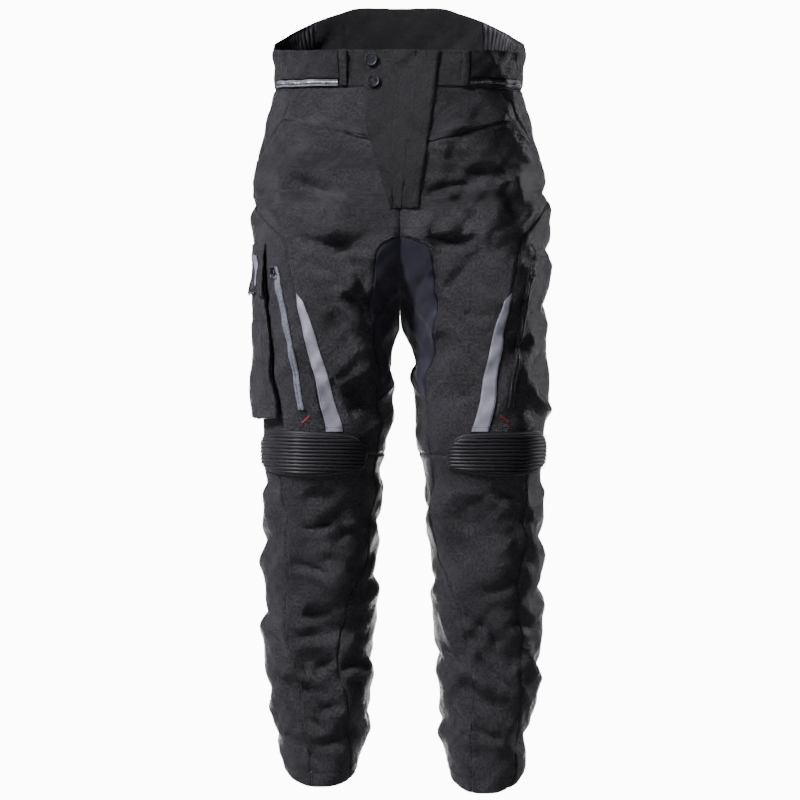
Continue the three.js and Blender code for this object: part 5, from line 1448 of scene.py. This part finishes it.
def level(leg, z, start, end, lift=ON_CLOTH):
    """A path round the leg at one height."""
    turn = np.linspace(start, end, max(3, int(abs(end - start) / 3)))
    return sew(leg, turn, float(z) + 0 * turn, lift)


def filled_in(corners, count):
    """Even steps along a row of corners, as two rows of numbers."""
    x, z = np.array(corners, float).T
    step = np.linspace(0, len(x) - 1, count * len(x))
    return np.interp(step, np.arange(len(x)), x), np.interp(step, np.arange(len(z)), z)


def between(leg, corners, lift=ON_CLOTH):
    """A path through points of the front, each a distance from the middle and a height."""
    x, z = filled_in(corners, 12)
    return sew(leg, turn_at(leg, z, x), z, lift)


def on_fly(corners):
    """A path on the fly flap through signed distances from the middle and heights, facing the front."""
    p = front_place(*filled_in(corners, 30), FLY_LIE + FLY_MM + 0.1)
    return p, np.tile([0.0, -1.0, 0.0], (len(p), 1))


# %% [markdown]
# ## Rows beside the seams
# Every seam that is sewn down has its row on one side, and the slant pocket has a second one, where its
# facing ends. Above each pocket zip a short bent row holds the pocket's upper corner.

# %% Rows beside the seams
POCKET_ROW, ZIP_ROW, BAND_ROW_TOP = -17, 6.8, -11
GARAGE = {"right": [(172, -273), (171.5, -266), (168, -264), (162, -274)],
          "left": [(171, -270), (172, -262), (176, -262), (181, -274)]}


def seam_rows(leg):
    """Paths beside the seams of one leg. Each row of the table: line, from height, to height, side."""
    line, foot = LINES[leg], HEM[leg] + 2
    side_zip, zip_top, zip_foot = straight(leg, *ZIP[leg]), ZIP[leg][1] + 2, ZIP[leg][3] - 4
    table = [
        (line["pocket"], WAIST_SEAM - 3, -152, -EASE), (line["pocket"], WAIST_SEAM - 3, -150, POCKET_ROW),
        (line["yoke"], YOKE_CORNER - 4, YOKE_CENTRE + 2, EASE),
        (line["side"], -206, STRIP_TOP + 2, -EASE), (line["side"], -206, KNEE_SEAM + 4, EASE),
        (line["inside"], GUSSET_TOP - 6, GUSSET_TIP, EASE), (line["inside"], GUSSET_TIP, KNEE_SEAM + 3, EASE),
        (line["inside"], KNEE_SEAM - 4, foot, EASE), (line["shin"], KNEE_SEAM - 4, foot, -EASE),
        (line["out"], WAIST_SEAM - 3, foot, EASE), (line["calf"], KNEE_SEAM - 3, foot, EASE),
        (line["seat"], WAIST_SEAM - 3, GUSSET_TOP, -EASE), (line["middle"], -218, GUSSET_TOP + 2, EASE),
        (side_zip, zip_top, zip_foot, -ZIP_ROW), (side_zip, zip_top, zip_foot, ZIP_ROW),
    ]
    return [down(leg, *row) for row in table] + [between(leg, GARAGE[leg])]


def level_rows(leg):
    """Paths at one height. Each row of the table: height, from turn, to turn, lift."""
    pocket = float(LINES[leg]["pocket"](-60.0))
    table = [(KNEE_SEAM + EASE, 168, 296, ON_CLOTH), (KNEE_SEAM - EASE, 168, 385, ON_CLOTH),
             (HEM[leg] + HEM_FOLD, 4, 364, ON_CLOTH), (WAIST_SEAM - EASE, pocket, 268, ON_CLOTH),
             (BAND_ROW_TOP, 96, 174, 0.3), (WAIST_FOOT + 2.4, 92, 174, 0.3)]
    return [level(leg, *row) for row in table]


# %% [markdown]
# ## Rows on the sewn-on pieces
# The knee panels have two rows inside their bound edge. The strips, tabs and loops each have theirs a little
# in from the edge, on top of the piece.

# %% Rows on the sewn-on pieces
KNEE_ROW_SHARES, LOOP_ROWS = (0.018, 0.034), (-12.5, -14, -49.5, -51)


def outline(u0, u1, v0, v1, count=40):
    """Shares round a four-sided outline, as two rows of numbers."""
    side = np.linspace(0, 1, count)
    u = np.concatenate([u0 + (u1 - u0) * side, u1 + 0 * side, u1 + (u0 - u1) * side, u0 + 0 * side])
    v = np.concatenate([v0 + 0 * side, v0 + (v1 - v0) * side, v1 + 0 * side, v1 + (v0 - v1) * side])
    return u, v


def knee_row(leg, share):
    """A path inside a knee panel's edge, by shares round it and down it."""
    u, v = outline(share, 1 - share, share * 2.2, 1 - share * 2.2)
    top, bottom = knee_top(-u), knee_bottom(-u)
    turn = KNEE_START[leg] + (KNEE[leg][1] - KNEE_START[leg]) * u
    return place(leg, turn, top + (bottom - top) * v, LIE + PAD_MM + BORDER_MM)


def strip_rows(leg):
    """One path beside the strip's long edge and one along its foot."""
    line, lift, foot_z = LINES[leg], LIE + STRIP_MM + 0.05, STRIP_BOTTOM + 5.5
    foot = float(line["side"](STRIP_BOTTOM + 6.0))
    start = foot - 21 * float(per_mm(leg, foot, STRIP_BOTTOM))
    return [down(leg, line["side"], STRIP_TOP - 2, STRIP_BOTTOM + 2, -1.6, lift),
            level(leg, foot_z, start, foot, lift)]


def trim_rows(leg):
    """The open square on the adjuster tab and four short bars on the belt loop."""
    trim = BAND_TRIM[leg]
    (x0, x1), (l0, l1) = trim["tab"], trim["loop"]
    top, bottom = trim["tab_top"] - 2.4, trim["tab_bottom"] + 2.4
    square = [(x0 + 2, top), (x1 - 3, top), (x1 - 3, bottom), (x0 + 2, bottom)]
    bars = [between(leg, [(l0 + 1, z), (l1 - 1, z)], TRIM_LIE + LOOP_MM + 0.2) for z in LOOP_ROWS]
    return [between(leg, square, TRIM_LIE + TAB_MM + ON_CLOTH)] + bars


for leg in SIDES:
    rows = seam_rows(leg) + level_rows(leg) + [knee_row(leg, share) for share in KNEE_ROW_SHARES]
    stitch_mesh(f"sewing_{leg}", rows + strip_rows(leg) + trim_rows(leg), THREAD)
print("leg sewing done:", len(made))

# %% [markdown]
# ## Bar tacks
# A bar tack is a short block of thread sewn over and over, where a seam would tear first. The ones at the
# foot of the pocket zips are red. Three paths side by side, with stitches that overlap, make the block.

# %% Bar tacks
BAR_TACK = {"right": (129, -498, 118.5, -488.5), "left": (132, -488.5, 143, -497)}
BAR_SHIFTS, BAR_LIFT, BAR_STITCH, BAR_GAP, BAR_RADIUS = (-0.6, 0.2, 1.0), 0.5, 3.4, -0.6, 0.62
for leg in SIDES:
    x0, z0, x1, z1 = BAR_TACK[leg]
    bar = [between(leg, [(x0, z0 + shift), (x1, z1 + shift)], BAR_LIFT) for shift in BAR_SHIFTS]
    stitch_mesh(f"bar_tack_{leg}", bar, RED_THREAD, length=BAR_STITCH, gap=BAR_GAP, radius=BAR_RADIUS)
print("bar tacks done:", len(made))

# %% [markdown]
# ## Sewing on the fly and the cargo pocket
# The fly's edge is sewn all round but at its top, then a second time further in, and its two seams have a row
# each. The cargo pocket has two rows down each side, and its flap one along the lower edge.

# %% Fly and cargo sewing
FLY_HEIGHTS = (-12, -50, -80, -112, -135, -165, -190, -212)
FLY_INNER_HEIGHTS = (-70, -112, -135, -165, -190, -206)
# Each row inside the fly: its two ends as signed distance from the middle and height
FLY_ACROSS = [[(-12.5, -209), (20.5, -209)], [(-12.5, -205), (20.5, -205)]]
FLY_DOWN = [[(-5.2, -16), (-7.5, -203)], [(23.4, -16), (6.0, -203)]]


def fly_edge(aside, heights):
    """Corners along the fly's left and right edge, that far in from them."""
    left = [(float(fly_left(float(z))) + aside, z) for z in heights]
    right = [(float(fly_right(float(z))) - aside, z) for z in heights]
    return left, right


outer_left, outer_right = fly_edge(2.4, FLY_HEIGHTS)
inner_left, inner_right = fly_edge(9.0, FLY_INNER_HEIGHTS)
fly_corners = [outer_left + outer_right[::-1], inner_left, inner_right] + FLY_ACROSS + FLY_DOWN
stitch_mesh("sewing_fly", [on_fly(corners) for corners in fly_corners], THREAD)

CARGO_INSETS, UNDER_FLAP, FLAP_ROW = (5.0, 11.0), 62, 4.0
cargo_rows = []
for inset in CARGO_INSETS:
    side = np.linspace(CARGO["top"] - UNDER_FLAP, CARGO["bottom"] + inset, 50)
    for edge, way in ((cargo_front(side), 1), (CARGO["rear"] + 0 * side, -1)):
        turn = edge + way * inset * per_mm("right", edge, side)
        cargo_rows += [place("right", turn, side, cargo_rise(side) * 0.86 + 1.0)]
flap_z = CARGO["flap_bottom"] + FLAP_ROW
flap_turn = np.linspace(cargo_front(flap_z) + 3, CARGO["rear"] - 3, 60)
cargo_rows += [place("right", flap_turn, flap_z + 0 * flap_turn, flap_lift(flap_z) + CARGO["wall"] + 0.7)]
stitch_mesh("sewing_cargo", cargo_rows, THREAD)
print("sewing done:", len(made))

# %% [markdown]
# ## Pull rings
# Each zip slider has a wire ring to pull, which swings on the slider's eye. The ring rides on its own body,
# so its mesh has to lie exactly where the solid ring does. Its centre is the mean of the solid's points. Its
# plane comes from their singular values: the direction in which the points vary least is the ring's axis.
# The slider keeps its own solid and only gets its metal.

# %% Pull rings and sliders
RING_RADIUS, WIRE, RING_STEPS, WIRE_STEPS = 4.7, 0.75, 40, 12


def ring_like(name, node, body):
    """A torus: centre plus radial times (radius plus wire cosine b) plus axis times wire sine b."""
    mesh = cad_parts[node].data
    points = np.empty(len(mesh.vertices) * 3)
    mesh.vertices.foreach_get("co", points)
    points = points.reshape(-1, 3) / MM
    centre = points.mean(0)
    _, _, axes = np.linalg.svd(points - centre, full_matrices=False)
    a = np.linspace(0, 2 * math.pi, RING_STEPS + 1)[:-1, None, None]
    b = np.linspace(0, 2 * math.pi, WIRE_STEPS + 1)[:-1][None, :, None]
    radial = np.cos(a) * axes[0] + np.sin(a) * axes[1]
    p = centre + radial * (RING_RADIUS + WIRE * np.cos(b)) + axes[2] * WIRE * np.sin(b)
    grid = np.arange(RING_STEPS * WIRE_STEPS).reshape(RING_STEPS, WIRE_STEPS)
    right, below = np.roll(grid, -1, 1), np.roll(grid, -1, 0)
    faces = np.stack([grid, below, np.roll(below, -1, 1), right], -1).reshape(-1, 4)
    obj = ready(name, p.reshape(-1, 3), faces, np.zeros((grid.size, 2)), GUNMETAL)
    dress(obj, node, body=body)


for leg in SIDES:
    ring_like(f"ring_{leg}", f"pull_ring_{leg}", f"{leg}_pull")
    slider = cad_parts[f"slider_{leg}"]
    slider.data.materials.clear()
    slider.data.materials.append(GUNMETAL)
print("rings done:", len(made))

# %% [markdown]
# ## Floor and backdrop
# Black cloth on white is hard to light: a bright room all round washes it out. So only what stands behind the
# garment glows. The floor is pale, and it glows in a wedge that the camera sees behind the hems. The world
# glows in a cone straight ahead and is nearly dark elsewhere. Both also give the outline its thin bright rim.

# %% Stage
BACKDROP, FLOOR_Z, FLOOR_SIZE = 12.0, -1.35, 60
FLOOR_GREY = (0.35, 0.35, 0.35, 1)
BLACK, WHITE = (0, 0, 0), (1, 1, 1)
# A ramp only reads 0 to 1, so metres are brought down into that
TENTHS = 0.1

stage_paint = Paint("stage_white", Base_Color=FLOOR_GREY, Roughness=0.9, Emission_Strength=BACKDROP)
aside, behind, _ = stage_paint.split(stage_paint.own_place())
spread = aside.absolute() / (behind + DISTANCE)
glow_behind = stage_paint.ramp(behind * TENTHS, 0.165, 0.195, BLACK, WHITE)
glow_ahead = stage_paint.ramp(spread, 0.13, 0.16, WHITE, BLACK)
stage_paint.use("Emission Color", glow_behind * glow_ahead)
bpy.ops.mesh.primitive_plane_add(size=FLOOR_SIZE, location=(0, 0, FLOOR_Z))
floor = bpy.context.object
floor.name = "floor"
floor.data.materials.append(stage_paint.material)

world = bpy.data.worlds.new("studio")
bpy.context.scene.world = world
world.use_nodes = True
sky = Nodes(world.node_tree)
_, forwards, _ = sky.split(sky.node("ShaderNodeTexCoord"))
glow = sky.node("ShaderNodeMapRange", settings={"interpolation_type": "SMOOTHSTEP"}, Value=forwards,
                From_Min=0.972, From_Max=0.985, To_Min=0.04, To_Max=BACKDROP)
background = sky.tree.nodes["Background"]
background.inputs["Color"].default_value = (*WHITE, 1)
sky.tree.links.new(glow.out, background.inputs["Strength"])

# %% [markdown]
# ## Soft lights
# One large key light from the upper left of the picture draws the creases, because it grazes them. A weak one
# from above keeps the right side from going black, and two behind the garment light its edges. Each is an
# area light, and its turn follows from the direction in which it looks.

# %% Lights
STUDIO_WHITE = (1.0, 0.97, 1.05)
# Each light: where it hangs, where it looks, its width and height in metres, its watts
LIGHTS = {
    "key": ((-2.6, -1.9, 2.4), (-0.1, 0, -0.4), (0.9, 0.9), 330),
    "top": ((0.5, -1.2, 2.4), (0, 0, -0.4), (1.2, 0.6), 9),
    "rim_right": ((2.1, 1.8, 0.1), (0.1, 0, -0.5), (0.4, 2.2), 24),
    "rim_left": ((-2.2, 2.2, 0.4), (-0.1, 0, -0.4), (0.6, 1.8), 5),
}
for name, (hangs_at, looks_at, size, watts) in LIGHTS.items():
    data = bpy.data.lights.new(name, "AREA")
    data.shape = "RECTANGLE"
    data.size, data.size_y = size
    data.energy = watts
    data.color = STUDIO_WHITE
    light = bpy.data.objects.new(name, data)
    light.location = hangs_at
    x, y, z = np.array(looks_at) - np.array(hangs_at)
    light.rotation_euler = (math.atan2(math.hypot(x, y), -z), 0, math.atan2(x, -y) + math.pi)
    bpy.context.collection.objects.link(light)
print("lights:", len(LIGHTS))
